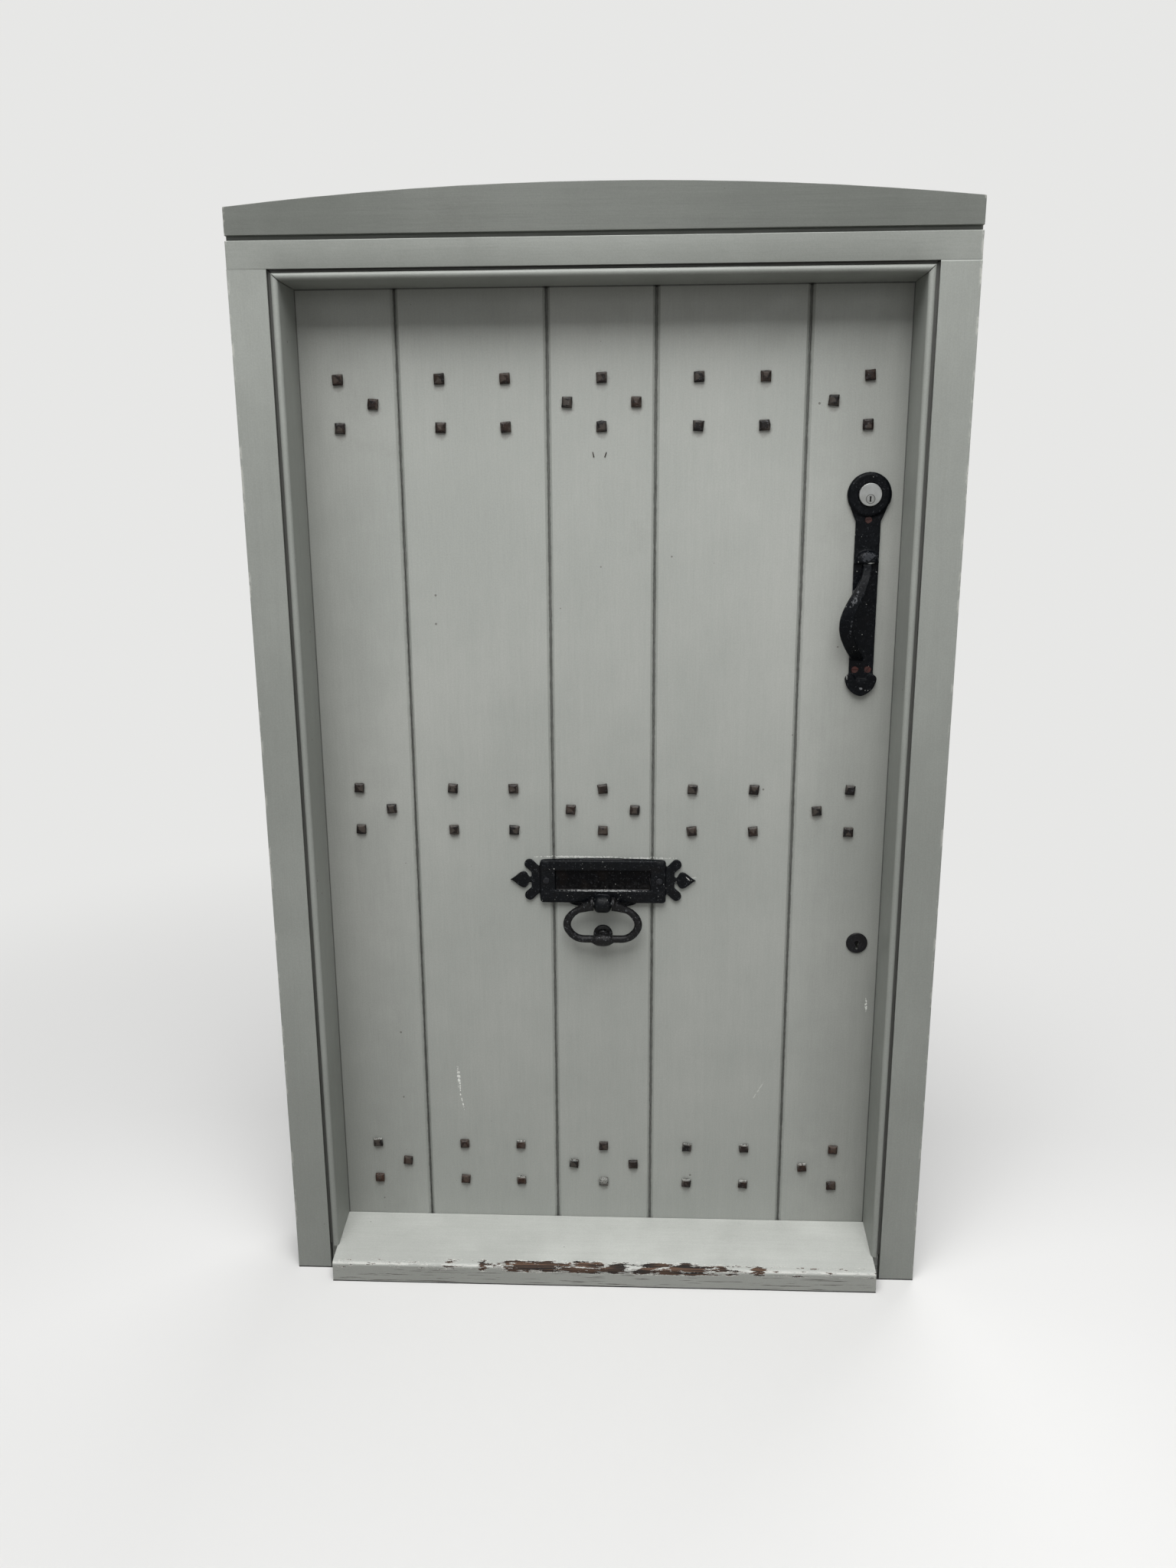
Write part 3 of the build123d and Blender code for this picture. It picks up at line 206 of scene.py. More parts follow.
def new_group(name, inputs, outputs):
    """A node group with its sockets, given as (name, kind, default) and as (name, kind)."""
    group = bpy.data.node_groups.new(name, "ShaderNodeTree")
    for label, kind, default in inputs:
        socket = group.interface.new_socket(label, in_out="INPUT", socket_type=kind)
        if default is not None:
            socket.default_value = default
    for label, kind in outputs:
        group.interface.new_socket(label, in_out="OUTPUT", socket_type=kind)
    start = group.nodes.new("NodeGroupInput")
    end = group.nodes.new("NodeGroupOutput")
    print("group", name, "with", len(inputs), "inputs")
    return group, start.outputs, end.inputs


def use_group(tree, group, **values):
    inputs = {label.replace("_", " "): value for label, value in values.items()}
    return add_node(tree, "Group", inputs, node_tree=group).outputs


def new_finish(name):
    """A material with its shader and the object coordinates that its patterns read."""
    finish = bpy.data.materials.new(name)
    finish.use_nodes = True
    tree = finish.node_tree
    place = add_node(tree, "TexCoord").outputs["Object"]
    return finish, tree, tree.nodes["Principled BSDF"], place


def coat(tree, shader, colour, rough, height, depth, strength):
    """Feed a shader its colour, roughness and bump; depth is the pattern's height in metres."""
    tree.links.new(colour, shader.inputs["Base Color"])
    tree.links.new(rough, shader.inputs["Roughness"])
    bump = add_node(tree, "Bump", {"Strength": strength, "Distance": depth, "Height": height})
    tree.links.new(bump.outputs["Normal"], shader.inputs["Normal"])


# %% [markdown]
# ## Light and floor
# The door stands in open shade: soft light comes from high in front, and little from behind.
# One wide lamp stands for a bright sky, and two weaker ones and the world fill the shadows. The
# wide lamp is steep, so the head throws a soft shadow down the boards, as on the real door.
#
# The floor keeps the door's shadow close by. Further off its own pale glow takes over for the
# rays that are seen, so that it runs into the background with no horizon line. It throws little
# light back up, so that the underside of the head stays dark.

# %% Lamps
def area_lamp(name, place, target, width, height, watts):
    data = bpy.data.lights.new(name, "AREA")
    data.shape = "RECTANGLE"
    data.size = width
    data.size_y = height
    data.energy = watts
    lamp = new_object(name, data)
    lamp.location = place
    lamp.rotation_euler = (Vector(target) - Vector(place)).to_track_quat("-Z", "Y").to_euler()


area_lamp("sky_lamp", (-0.1, -1.8, 4.0), (0.0, 0.0, 0.5), 3.0, 2.6, 176.0)
area_lamp("front_fill", (0.4, -3.6, 1.9), (0.0, 0.0, 0.8), 2.0, 1.6, 13.0)
area_lamp("rear_fill", (1.2, 3.0, 2.4), (0.0, 0.0, 0.8), 3.0, 2.5, 60.0)


# %% World
def seen_rays(tree):
    """One for rays from the camera and for those that gloss or glass sends on, else zero."""
    path = add_node(tree, "LightPath").outputs
    seen = maths(tree, "MAXIMUM", path["Is Camera Ray"], path["Is Glossy Ray"])
    return maths(tree, "MAXIMUM", seen, path["Is Transmission Ray"])


def swap_shaders(tree, share, under, over, end):
    swap = add_node(tree, "MixShader", {0: share, 1: under.outputs[0], 2: over.outputs[0]})
    tree.links.new(swap.outputs[0], end.inputs["Surface"])


pale = (0.80, 0.80, 0.79, 1.0)
shade_colour = (0.82, 0.84, 0.86, 1.0)
shade_strength = 0.20
world = bpy.data.worlds.new("pale_world")
world.use_nodes = True
bpy.context.scene.world = world
sky = world.node_tree
sky_shade = sky.nodes["Background"]
sky_shade.inputs["Color"].default_value = shade_colour
sky_shade.inputs["Strength"].default_value = shade_strength
sky_seen = add_node(sky, "Background", {"Color": pale})
swap_shaders(sky, seen_rays(sky), sky_shade, sky_seen, sky.nodes["World Output"])
bpy.context.scene.view_settings.view_transform = "Standard"

# %% Floor
ground_seen_colour = (0.78, 0.775, 0.765, 1.0)
ground_shade_colour = (0.26, 0.25, 0.235, 1.0)
glow_start = 0.7
glow_full = 2.8
floor_build = bmesh.new()
bmesh.ops.create_grid(floor_build, x_segments=1, y_segments=1, size=40.0)
floor_mesh = stored(floor_build, "floor")
floor_paint, ground, ground_shader, ground_place = new_finish("pale_floor")
ground_shader.inputs["Roughness"].default_value = 0.9
ground_seen = seen_rays(ground)
ground_colour = mixed(ground, ground_seen, ground_shade_colour, ground_seen_colour)
ground.links.new(ground_colour, ground_shader.inputs["Base Color"])
away = add_node(ground, "VectorMath", {0: ground_place}, operation="LENGTH").outputs["Value"]
glow_share = times(ground, band(ground, away, glow_start, glow_full), ground_seen)
glow = add_node(ground, "Emission", {"Color": pale})
swap_shaders(ground, glow_share, ground_shader, glow, ground.nodes["Material Output"])
floor_mesh.materials.append(floor_paint)
floor = new_object("floor", floor_mesh)
print("floor and", len(bpy.data.lights), "lamps")

# %% [markdown]
# ## Old brush paint
# Oil paint on softwood shows three scales at once: broad soft blotches where it has faded,
# fine streaks along the brush and the grain, and small dark specks of dirt. The same group is
# used upright on boards and jambs and lying on the head and sill: only its coordinates turn.

# %% Group: brushed paint
brushed_paint, given, result = new_group(
    "brushed paint",
    [("Grain place", VECTOR, None), PLACE, ("Paint", COLOUR, (0.4, 0.4, 0.4, 1)),
     ("Faded paint", COLOUR, (0.5, 0.5, 0.5, 1)), ("Dirt", COLOUR, (0.1, 0.1, 0.1, 1)),
     ("Dirt amount", FLOAT, 0.5)],
    [("Colour", COLOUR), ("Roughness", FLOAT), ("Height", FLOAT)],
)
g = brushed_paint
place = given["Place"]
broad = cloud(g, place, 2.2, 3.0, 0.5)
mottled = cloud(g, place, 17.0, 4.0, 0.6)
streaks = streaked(g, given["Grain place"], (110.0, 110.0, 3.2), 4.0, 0.6)
hairs = streaked(g, given["Grain place"], (520.0, 520.0, 24.0), 3.0, 0.6)
tooth = cloud(g, place, 420.0, 3.0, 0.7)
fade = summed(g, (broad, 0.62), (mottled, 0.2), (streaks, 0.12))
colour = mixed(g, band(g, fade, 0.36, 0.64), given["Paint"], given["Faded paint"])
shade = band(g, summed(g, (hairs, 0.35), (tooth, 0.65)), 0.3, 0.7, 0.93, 1.05)
colour = mixed(g, 1.0, colour, shade, "MULTIPLY")
from_speck, speck_pick = cells(g, place, 46.0)
chosen = band(g, speck_pick["Red"], 0.9, 0.92)
speck_size = band(g, speck_pick["Green"], 0.0, 1.0, 0.03, 0.085)
specks = times(g, chosen, maths(g, "LESS_THAN", from_speck, speck_size))
grime = band(g, cloud(g, place, 7.0, 5.0, 0.65), 0.6, 0.82)
dirty = maths(g, "MAXIMUM", times(g, specks, 0.85), times(g, grime, 0.16))
dirty = times(g, dirty, given["Dirt amount"])
feed(g, result["Colour"], mixed(g, dirty, colour, given["Dirt"]))
feed(g, result["Roughness"], band(g, mottled, 0.3, 0.7, 0.46, 0.62))
feed(g, result["Height"], summed(g, (streaks, 0.55), (hairs, 0.3), (tooth, 0.25), (mottled, 0.35)))

# %% [markdown]
# ## Knocks and splashes
# A few marks lie at one place each: a white splash on the second board, a knock near the lock
# edge and a faint scrape beside it. One group gives a torn patch round a centre, and each
# material that needs a mark places it by the patch's middle, size and lean.

# %% Group: torn patch
torn_patch, given, result = new_group(
    "torn patch",
    [PLACE, ("Middle X", FLOAT, 0.0), ("Middle Z", FLOAT, 0.0), ("Half width", FLOAT, 0.01),
     ("Half height", FLOAT, 0.01), ("Lean", FLOAT, 0.0), ("Tear", FLOAT, 0.5)],
    [MASK],
)
g = torn_patch
x, y, z = axes(g, given["Place"])
up = minus(g, z, given["Middle Z"])
across = minus(g, minus(g, x, given["Middle X"]), times(g, up, given["Lean"]))
up = squared(g, maths(g, "DIVIDE", up, given["Half height"]))
across = squared(g, maths(g, "DIVIDE", across, given["Half width"]))
ragged = swing(g, cloud(g, given["Place"], 260.0, 5.0, 0.7), 6.0)
edge = plus(g, plus(g, up, across), plus(g, ragged, given["Tear"]))
feed(g, result["Mask"], band(g, edge, 0.75, 1.0, 1.0, 0.0))

# %% [markdown]
# ## The leaf's paint
# The leaf is a pale grey green. Its V joints are darker down in the groove, and each iron stud
# has let a faint brown bloom into the paint below it. The studs stand in mirrored columns, so the
# bloom is worked out from the distance to the nearest stud place, which is read from the CAD
# studs themselves. Painted shade lies in a dark line and a wider haze where the leaf meets its
# frame, and the letter slot's walls are painted dark as shade.

# %% Stud places read from the CAD
def islands(node):
    """The low and high corner of every separate solid in a CAD node."""
    build = bmesh.new()
    build.from_mesh(frame["nodes"][node].data)
    bmesh.ops.remove_doubles(build, verts=build.verts, dist=0.00001)
    waiting = set(build.verts)
    found = []
    while waiting:
        stack = [waiting.pop()]
        group = []
        while stack:
            vertex = stack.pop()
            group.append(vertex.co.copy())
            for edge in vertex.link_edges:
                other = edge.other_vert(vertex)
                if other in waiting:
                    waiting.remove(other)
                    stack.append(other)
        low = Vector([min(c[i] for c in group) for i in range(3)])
        high = Vector([max(c[i] for c in group) for i in range(3)])
        found.append((low, high))
    build.free()
    return sorted(found, key=lambda box: (round(box[0].x, 4), round(box[0].z, 4)))


stud_rows = ("studs_top", "studs_middle", "studs_bottom")
stud_boxes = {row: islands(row) for row in stud_rows}
top_z, middle_z, bottom_z = [
    sum((low.z + high.z) / 2 for low, high in boxes) / len(boxes) for boxes in stud_boxes.values()
]
columns = sorted({
    (round(abs(low.x + high.x) / 2, 4), round(abs((low.z + high.z) / 2 - top_z), 4))
    for low, high in stud_boxes["studs_top"]
})
print("studs", {row: len(boxes) for row, boxes in stud_boxes.items()}, "columns", columns)

# %% Group: bloom below the studs
stud_bloom, given, result = new_group("stud bloom", [PLACE], [MASK])
g = stud_bloom
bloom_drop = 0.004
x, y, z = axes(g, given["Place"])
side = maths(g, "ABSOLUTE", x)
row_z = bottom_z
for lower, upper in ((bottom_z, middle_z), (middle_z, top_z)):
    past = maths(g, "GREATER_THAN", z, (lower + upper) / 2)
    row_z = plus(g, row_z, times(g, past, upper - lower))
rise = minus(g, z, row_z)
stud_pairs = sorted({(stud_x, sign * stud_z) for stud_x, stud_z in columns for sign in (-1, 1)})
nearest = None
for stud_x, stud_z in stud_pairs:
    dx = times(g, minus(g, side, stud_x), 1.25)
    dz = minus(g, rise, stud_z - bloom_drop)
    reach = maths(g, "SQRT", plus(g, squared(g, dx), squared(g, dz)))
    nearest = reach if nearest is None else maths(g, "MINIMUM", nearest, reach)
wander = swing(g, cloud(g, given["Place"], 130.0, 3.0), 0.012)
feed(g, result["Mask"], band(g, plus(g, nearest, wander), 0.009, 0.0165, 1.0, 0.0))
print("bloom places", len(stud_pairs))

# %% Group: darker down in a joint
joint_darkening, given, result = new_group(
    "joint darkening", [PLACE, ("Front", FLOAT, 0.0), ("Depth", FLOAT, 0.005)], [MASK],
)
g = joint_darkening
x, y, z = axes(g, given["Place"])
sunk = maths(g, "DIVIDE", minus(g, y, given["Front"]), given["Depth"])
sunk = plus(g, sunk, times(g, cloud(g, given["Place"], 90.0, 3.0), 0.5))
above_rear = band(g, sunk, 1.9, 2.1, 1.0, 0.0)
feed(g, result["Mask"], times(g, band(g, sunk, 0.75, 1.25), above_rear))

# %% Group: painted shade where the leaf meets its frame
edge_shade, given, result = new_group(
    "edge dirt", [PLACE, ("Side", FLOAT, 0.45), ("Top", FLOAT, 1.6)], [("Line", FLOAT), ("Haze", FLOAT)],
)
g = edge_shade
side_haze_share = 0.65
x, y, z = axes(g, given["Place"])
to_side = minus(g, given["Side"], maths(g, "ABSOLUTE", x))
to_top = minus(g, given["Top"], z)
nearest_edge = maths(g, "MINIMUM", to_side, to_top)
# Painted shade: a dark line in the corner against the frame and head, and a wider haze off it.
feed(g, result["Line"], band(g, nearest_edge, 0.0006, 0.0022, 1.0, 0.0))
cloudy = times(g, cloud(g, given["Place"], 24.0, 4.0), 0.04)
hazy = minus(g, maths(g, "MINIMUM", times(g, to_side, side_haze_share), to_top), cloudy)
feed(g, result["Haze"], band(g, hazy, -0.022, 0.10, 1.0, 0.0))

# %% Group: painted shade on the walls of the letter slot
slot_shade, given, result = new_group(
    "slot walls", [PLACE, ("Half", FLOAT, 0.08), ("Low", FLOAT, 0.66), ("High", FLOAT, 0.71)], [MASK],
)
g = slot_shade
x, y, z = axes(g, given["Place"])
inside = maths(g, "LESS_THAN", maths(g, "ABSOLUTE", x), given["Half"])
inside = times(g, inside, maths(g, "GREATER_THAN", z, given["Low"]))
inside = times(g, inside, maths(g, "LESS_THAN", z, given["High"]))
feed(g, result["Mask"], times(g, inside, band(g, y, 0.0008, 0.0025)))

# %% Helper: lay marks over a colour
def outer_side(tree, place):
    """One in front of the boards' faces and on them, zero inside the boards and behind."""
    return band(tree, axes(tree, place)["Y"], 0.004, 0.006, 1.0, 0.0)


def marked(tree, place, colour, marks):
    """Marks are (x, z, half width, half height, lean, tear, colour, strength), in metres."""
    if not marks:
        return colour
    outside = outer_side(tree, place)
    for x, z, half_x, half_z, lean, tear, code, strength in marks:
        patch = use_group(
            tree, torn_patch, Place=place, Middle_X=x, Middle_Z=z,
            Half_width=half_x, Half_height=half_z, Lean=lean, Tear=tear,
        )["Mask"]
        patch = times(tree, patch, times(tree, outside, strength))
        colour = mixed(tree, patch, colour, tone(code))
    return colour


# %% Finish: leaf paint
v_depth = 0.005
slot_half = 0.0800
slot_low = 0.664
slot_high = 0.713
paint_depth = 0.0005
paint_bump = 0.55
frame_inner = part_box("jamb_right")[0].x
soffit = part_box("head")[0].z


def painted_leaf(name, marks):
    finish, tree, shader, place = new_finish(name)
    paint = use_group(
        tree, brushed_paint, Grain_place=place, Place=place, Paint=tone("9FA29D"),
        Faded_paint=tone("ABADA8"), Dirt=tone("4A4740"), Dirt_amount=0.8,
    )
    # The V joints are darker down in the groove.
    joint = use_group(tree, joint_darkening, Place=place, Front=0.0, Depth=v_depth)["Mask"]
    colour = mixed(tree, times(tree, joint, 0.75), paint["Colour"], tone("33332F"))
    # Painted shade: the letter slot's walls are darkened nearly to black.
    slot = use_group(tree, slot_shade, Place=place, Half=slot_half, Low=slot_low, High=slot_high)["Mask"]
    colour = mixed(tree, slot, colour, tone("1E1B18"))
    # Painted shade along the frame's sides and under the head: a wide haze and a dark line.
    edges = use_group(tree, edge_shade, Place=place, Side=frame_inner, Top=soffit)
    colour = mixed(tree, times(tree, edges["Haze"], 0.32), colour, tone("4E4D47"))
    colour = mixed(tree, times(tree, edges["Line"], 0.8), colour, tone("2A2A27"))
    if marks:
        bloom = use_group(tree, stud_bloom, Place=place)["Mask"]
        bloom = times(tree, bloom, outer_side(tree, place))
        colour = mixed(tree, times(tree, bloom, 0.30), colour, tone("57504A"))
        colour = marked(tree, place, colour, marks)
    coat(tree, shader, colour, paint["Roughness"], paint["Height"], paint_depth, paint_bump)
    return finish


leaf_marks = [
    (-0.2512, 0.319, 0.0032, 0.030, -0.05, 0.55, "EDEFEA", 0.95),
    (-0.2470, 0.279, 0.0016, 0.024, -0.22, 0.75, "EDEFEA", 0.9),
    (0.4421, 0.467, 0.0022, 0.013, -0.05, 0.4, "E6E8E2", 0.85),
    (0.2661, 0.306, 0.0016, 0.022, 0.55, 0.5, "C9CDC6", 0.7),
    (-0.035, 0.7252, 0.075, 0.0020, 0.0, 0.35, "DCDDD8", 0.85),
    (0.070, 0.7238, 0.060, 0.0018, 0.0, 0.45, "DCDDD8", 0.8),
    (0.1130, 0.7010, 0.004, 0.0018, 0.0, 0.4, "DCDDD8", 0.8),
    (0.1500, 0.6905, 0.006, 0.0016, 0.0, 0.5, "D2D4CE", 0.7),
]
leaf_paint = painted_leaf("leaf paint", leaf_marks)
inside_paint = painted_leaf("inside paint", [])
print("marks on the leaf", len(leaf_marks))

# %% [markdown]
# ## The frame's paint
# The frame is the same family of colour, a little deeper, partly its own paint and partly painted
# shade of the doorway, and smeared pale along its outer edges. The head is painted deeper still and
# the arched board much deeper, as painted shade from above. On the sill the paint has weathered
# lighter, and along the sill's nose it has lifted off in long shreds, so bare brown wood shows
# inside a ragged rim of white primer. The sill's front and the quirk beside the bead hold painted
# shade.

# %% Group: weathered nose
weathered_nose, given, result = new_group(
    "weathered nose", [PLACE, ("Nose Y", FLOAT, 0.0), ("Nose Z", FLOAT, 0.0)],
    [("Bare wood", FLOAT), ("Primer", FLOAT), ("Cracks", FLOAT), ("Wood colour", COLOUR)],
)
peels = [
    (-0.262, 0.024, 0.5), (-0.203, 0.014, 0.8), (-0.135, 0.042, 1.1), (-0.090, 0.020, 1.0),
    (-0.036, 0.056, 1.1), (0.026, 0.028, 0.95), (0.086, 0.048, 1.05), (0.145, 0.048, 1.1),
    (0.205, 0.028, 0.6), (0.262, 0.016, 0.6), (0.330, 0.014, 0.4),
]
g = weathered_nose
place = given["Place"]
x, y, z = axes(g, place)
back = minus(g, y, given["Nose Y"])
down = minus(g, given["Nose Z"], z)
arris = times(g, band(g, back, 0.007, 0.026, 1.0, 0.0), band(g, down, 0.006, 0.019, 1.0, 0.0))
shreds = streaked(g, place, (38.0, 150.0, 230.0), 8.0, 0.74)
shreds = plus(g, times(g, shreds, 2.0), -0.5)
torn_x = plus(g, x, swing(g, streaked(g, place, (45.0, 260.0, 260.0), 5.0, 0.7), 0.07))
nearness = 0.0
for peel_x, peel_half, peel_weight in peels:
    from_peel = maths(g, "DIVIDE", minus(g, torn_x, peel_x), peel_half)
    inside_peel = minus(g, 1.0, squared(g, from_peel))
    nearness = maths(g, "MAXIMUM", nearness, times(g, inside_peel, peel_weight))
shreds = plus(g, shreds, band(g, nearness, 0.0, 0.9, -0.20, 0.15))
field = times(g, arris, shreds)
feed(g, result["Bare wood"], band(g, field, 0.48, 0.495))
thin = times(g, band(g, back, 0.001, 0.004, 1.0, 0.0), band(g, down, 0.001, 0.004, 1.0, 0.0))
chipped = band(g, streaked(g, place, (60.0, 200.0, 200.0), 4.0, 0.7), 0.42, 0.50)
feed(g, result["Primer"], maths(g, "MAXIMUM", band(g, field, 0.405, 0.42), times(g, thin, chipped)))
grain = streaked(g, place, (12.0, 260.0, 520.0), 5.0, 0.6)
feed(g, result["Cracks"], times(g, band(g, grain, 0.60, 0.63), band(g, down, 0.005, 0.009)))
wood = mixed(g, band(g, grain, 0.42, 0.62), tone("15100D"), tone("5F4737"))
wood = mixed(g, band(g, field, 0.49, 0.54, 0.8, 0.0), wood, tone("14110F"))
feed(g, result["Wood colour"], wood)
print("peels on the nose", len(peels))

# %% Wear and painted shade on the sill and on the frame
jamb_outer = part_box("jamb_right")[1].x
frame_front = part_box("jamb_right")[0].y
nose_top = 0.037
bead_width = 0.011
quirk_width = 0.004
quirk_blur = 0.0008


def sill_wear_and_shade(tree, place, paint):
    nose = use_group(tree, weathered_nose, Place=place, Nose_Y=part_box("sill")[0].y, Nose_Z=nose_top)
    lost = summed(tree, (nose["Bare wood"], -3.0), (nose["Primer"], -0.8), (nose["Cracks"], -1.5))
    rough = mixed(tree, nose["Bare wood"], paint["Roughness"], (0.85, 0.85, 0.85, 1.0))
    # Painted shade: the sill's front, below its nose, is darker than its top.
    below = band(tree, axes(tree, place)["Z"], nose_top - 0.007, nose_top - 0.002, 0.45, 0.0)
    colour = mixed(tree, below, paint["Colour"], tone("7E807A"))
    colour = mixed(tree, nose["Cracks"], colour, tone("3A322C"))
    colour = mixed(tree, nose["Primer"], colour, tone("DCDCD6"))
    colour = mixed(tree, nose["Bare wood"], colour, nose["Wood colour"])
    return colour, rough, plus(tree, paint["Height"], lost)


def quirk_shade_and_smears(tree, place, colour, lying):
    """Painted shade in the quirk beside the bead, and pale smears along the outer edge."""
    x, y, z = axes(tree, place)
    side = maths(tree, "ABSOLUTE", x)
    across, start = (z, soffit) if lying else (side, frame_inner)
    across = minus(tree, across, start + bead_width)
    quirk_shade = times(tree, band(tree, across, -quirk_blur, 0.0),
                     band(tree, across, quirk_width, quirk_width + quirk_blur, 1.0, 0.0))
    if lying:
        reach = frame_inner + bead_width + quirk_width
        quirk_shade = times(tree, quirk_shade, band(tree, side, reach, reach + 0.001, 1.0, 0.0))
    quirk_shade = times(tree, quirk_shade, band(tree, y, frame_front + quirk_blur, frame_front + 0.003))
    # Painted shade: the quirk beside the bead is darkened.
    colour = mixed(tree, times(tree, quirk_shade, 0.85), colour, tone("2F2E2B"))
    outward = band(tree, side, jamb_outer - 0.005, jamb_outer)
    outward = times(tree, outward, band(tree, y, frame_front, frame_front + 0.02, 1.0, 0.0))
    torn = streaked(tree, place, (70.0, 70.0, 26.0), 5.0, 0.65)
    smear = times(tree, outward, band(tree, torn, 0.52, 0.60))
    return mixed(tree, times(tree, smear, 0.55), colour, tone("C9C8C2"))


# %% Finish: frame paint, upright, lying and on the sill
def painted_frame(name, fresh, faded, lying=True, sill=False):
    finish, tree, shader, place = new_finish(name)
    grain_place = place
    if lying:
        turn = {"Vector": place, "Rotation": (0.0, math.radians(90.0), 0.0)}
        grain_place = add_node(tree, "Mapping", turn).outputs[0]
    paint = use_group(
        tree, brushed_paint, Grain_place=grain_place, Place=place,
        Paint=tone(fresh), Faded_paint=tone(faded), Dirt=tone("45423C"), Dirt_amount=0.9,
    )
    if sill:
        colour, rough, height = sill_wear_and_shade(tree, place, paint)
    else:
        colour = quirk_shade_and_smears(tree, place, paint["Colour"], lying)
        rough, height = paint["Roughness"], paint["Height"]
    coat(tree, shader, colour, rough, height, paint_depth, paint_bump)
    return finish


# The upright paint is deeper than the leaf's: partly its own paint, partly painted shade.
frame_paint = painted_frame("frame paint upright", "878A85", "939691", lying=False)
# Painted shade: the head's paint is deeper than the jambs', and the arched board's much deeper.
frame_paint_lying_shaded = painted_frame("frame paint lying, shaded", "7F827D", "8B8E89")
arch_paint_shaded = painted_frame("arch paint with painted shade", "555853", "676A65")
sill_paint = painted_frame("sill paint", "B0B2AD", "C2C4BF", sill=True)
print("frame from", round(frame_inner, 4), "to", round(jamb_outer, 4))

# %% [markdown]
# ## Timber pieces
# A planed board never has a knife edge: paint and hands round it by about a millimetre, and that
# small round catches the light. Each timber is a copy of its CAD mesh with the doubles merged,
# the flat faces joined, the sharp edges bevelled, and long runs divided so that the surface can
# waver by a fraction of a millimetre. The copy replaces the CAD node and rides on its body.

# %% Helpers: copy a CAD node as clean solid faces and keep the result
def clean_copy(node):
    build = bmesh.new()
    build.from_mesh(frame["nodes"][node].data)
    bmesh.ops.remove_doubles(build, verts=build.verts, dist=0.00001)
    bmesh.ops.dissolve_limit(build, angle_limit=math.radians(0.5), verts=build.verts, edges=build.edges)
    return build


def keep_piece(build, name, node, finish, smooth_angle=40.0):
    """Store a mesh as a piece that stands for a CAD node, and let it ride on that node's body."""
    mesh = stored(build, name)
    mesh.materials.append(finish)
    mesh.polygons.foreach_set("use_smooth", [True] * len(mesh.polygons))
    mesh.set_sharp_from_angle(angle=math.radians(smooth_angle))
    piece = new_object(name, mesh)
    weighted = piece.modifiers.new("weighted normals", "WEIGHTED_NORMAL")
    weighted.keep_sharp = True
    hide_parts(node)
    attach(piece, body_of_node[node])
    print(name, len(mesh.polygons), "faces")
    return piece


# %% Helpers: ease sharp edges and let the surface waver
joint_z = soffit + bead_width + quirk_width
joint_blur = 0.0004


def painted_over(edge):
    """True for an edge in the joint between jamb and head, which the paint has filled."""
    past_quirk = frame_inner + bead_width + quirk_width - 0.001
    return all(abs(v.co.z - joint_z) < joint_blur and abs(v.co.x) > past_quirk for v in edge.verts)


def sharp_edges(build, least_angle):
    return [e for e in build.edges if e.is_manifold and e.calc_face_angle() > math.radians(least_angle)]


def bevel_edges(build, edges, width, segments):
    bmesh.ops.bevel(
        build, geom=edges, offset=width, offset_type="OFFSET", segments=segments, profile=0.5,
        affect="EDGES", clamp_overlap=True, material=-1,
    )


def ease_edges(build, radius, least_angle):
    edges = [e for e in sharp_edges(build, least_angle) if not painted_over(e)]
    bevel_edges(build, edges, radius, 2)


def divide_along(build, axis, step):
    low = min(v.co[axis] for v in build.verts)
    high = max(v.co[axis] for v in build.verts)
    normal = Vector((0.0, 0.0, 0.0))
    normal[axis] = 1.0
    cuts = int((high - low) / step)
    for i in range(1, cuts):
        point = normal * (low + (high - low) * i / cuts)
        geometry = list(build.verts) + list(build.edges) + list(build.faces)
        bmesh.ops.bisect_plane(build, geom=geometry, plane_co=point, plane_no=normal)


def waver(build, amount, scale, seed):
    """Move each vertex inwards by a smooth noise, so that the piece stays inside its CAD box."""
    shift = Vector((seed * 3.1, seed * 1.7, seed * 2.3))
    build.normal_update()
    moves = [(v, v.normal.copy()) for v in build.verts]
    for vertex, normal in moves:
        vertex.co += normal * amount * (noise.noise(vertex.co * scale + shift) - 1.0) / 2


# %% Boards, jambs, head and sill
along_x, along_z = 0, 2
plane_waver = 0.0005
plane_scale = 17.0


def timber(node, finish, axis, seed, radius=0.0012, step=0.03):
    build = clean_copy(node)
    ease_edges(build, radius, 30.0)
    divide_along(build, axis, step)
    waver(build, plane_waver, plane_scale, seed)
    keep_piece(build, node + "_timber", node, finish)


for number in range(1, 6):
    timber(f"board_{number}", leaf_paint, along_z, number, radius=0.0009)
timber("jamb_left", frame_paint, along_z, 6)
timber("jamb_right", frame_paint, along_z, 7)
timber("head", frame_paint_lying_shaded, along_x, 8)
timber("arched_head_board", arch_paint_shaded, along_x, 9)
timber("sill", sill_paint, along_x, 10, step=0.012)
for name in ("ledge_top", "ledge_middle", "ledge_bottom"):
    timber(name, inside_paint, along_x, 11)
for name in ("brace_lower", "brace_upper", "lock_block_upper", "lock_block_lower"):
    timber(name, inside_paint, along_z, 12)

# %% [markdown]
# ## Iron finishes
# Black paint on iron fails first where hands and weather reach it: edges go brown and then
# bare. On the dense cast pieces the mesh itself tells where an edge is, through Pointiness, and
# noise breaks that mask up. The studs have lost nearly all their paint and are brown rust.
# A pale grey on the tops of the lumps and pale glints on the grit are painted sheen and painted
# highlights.

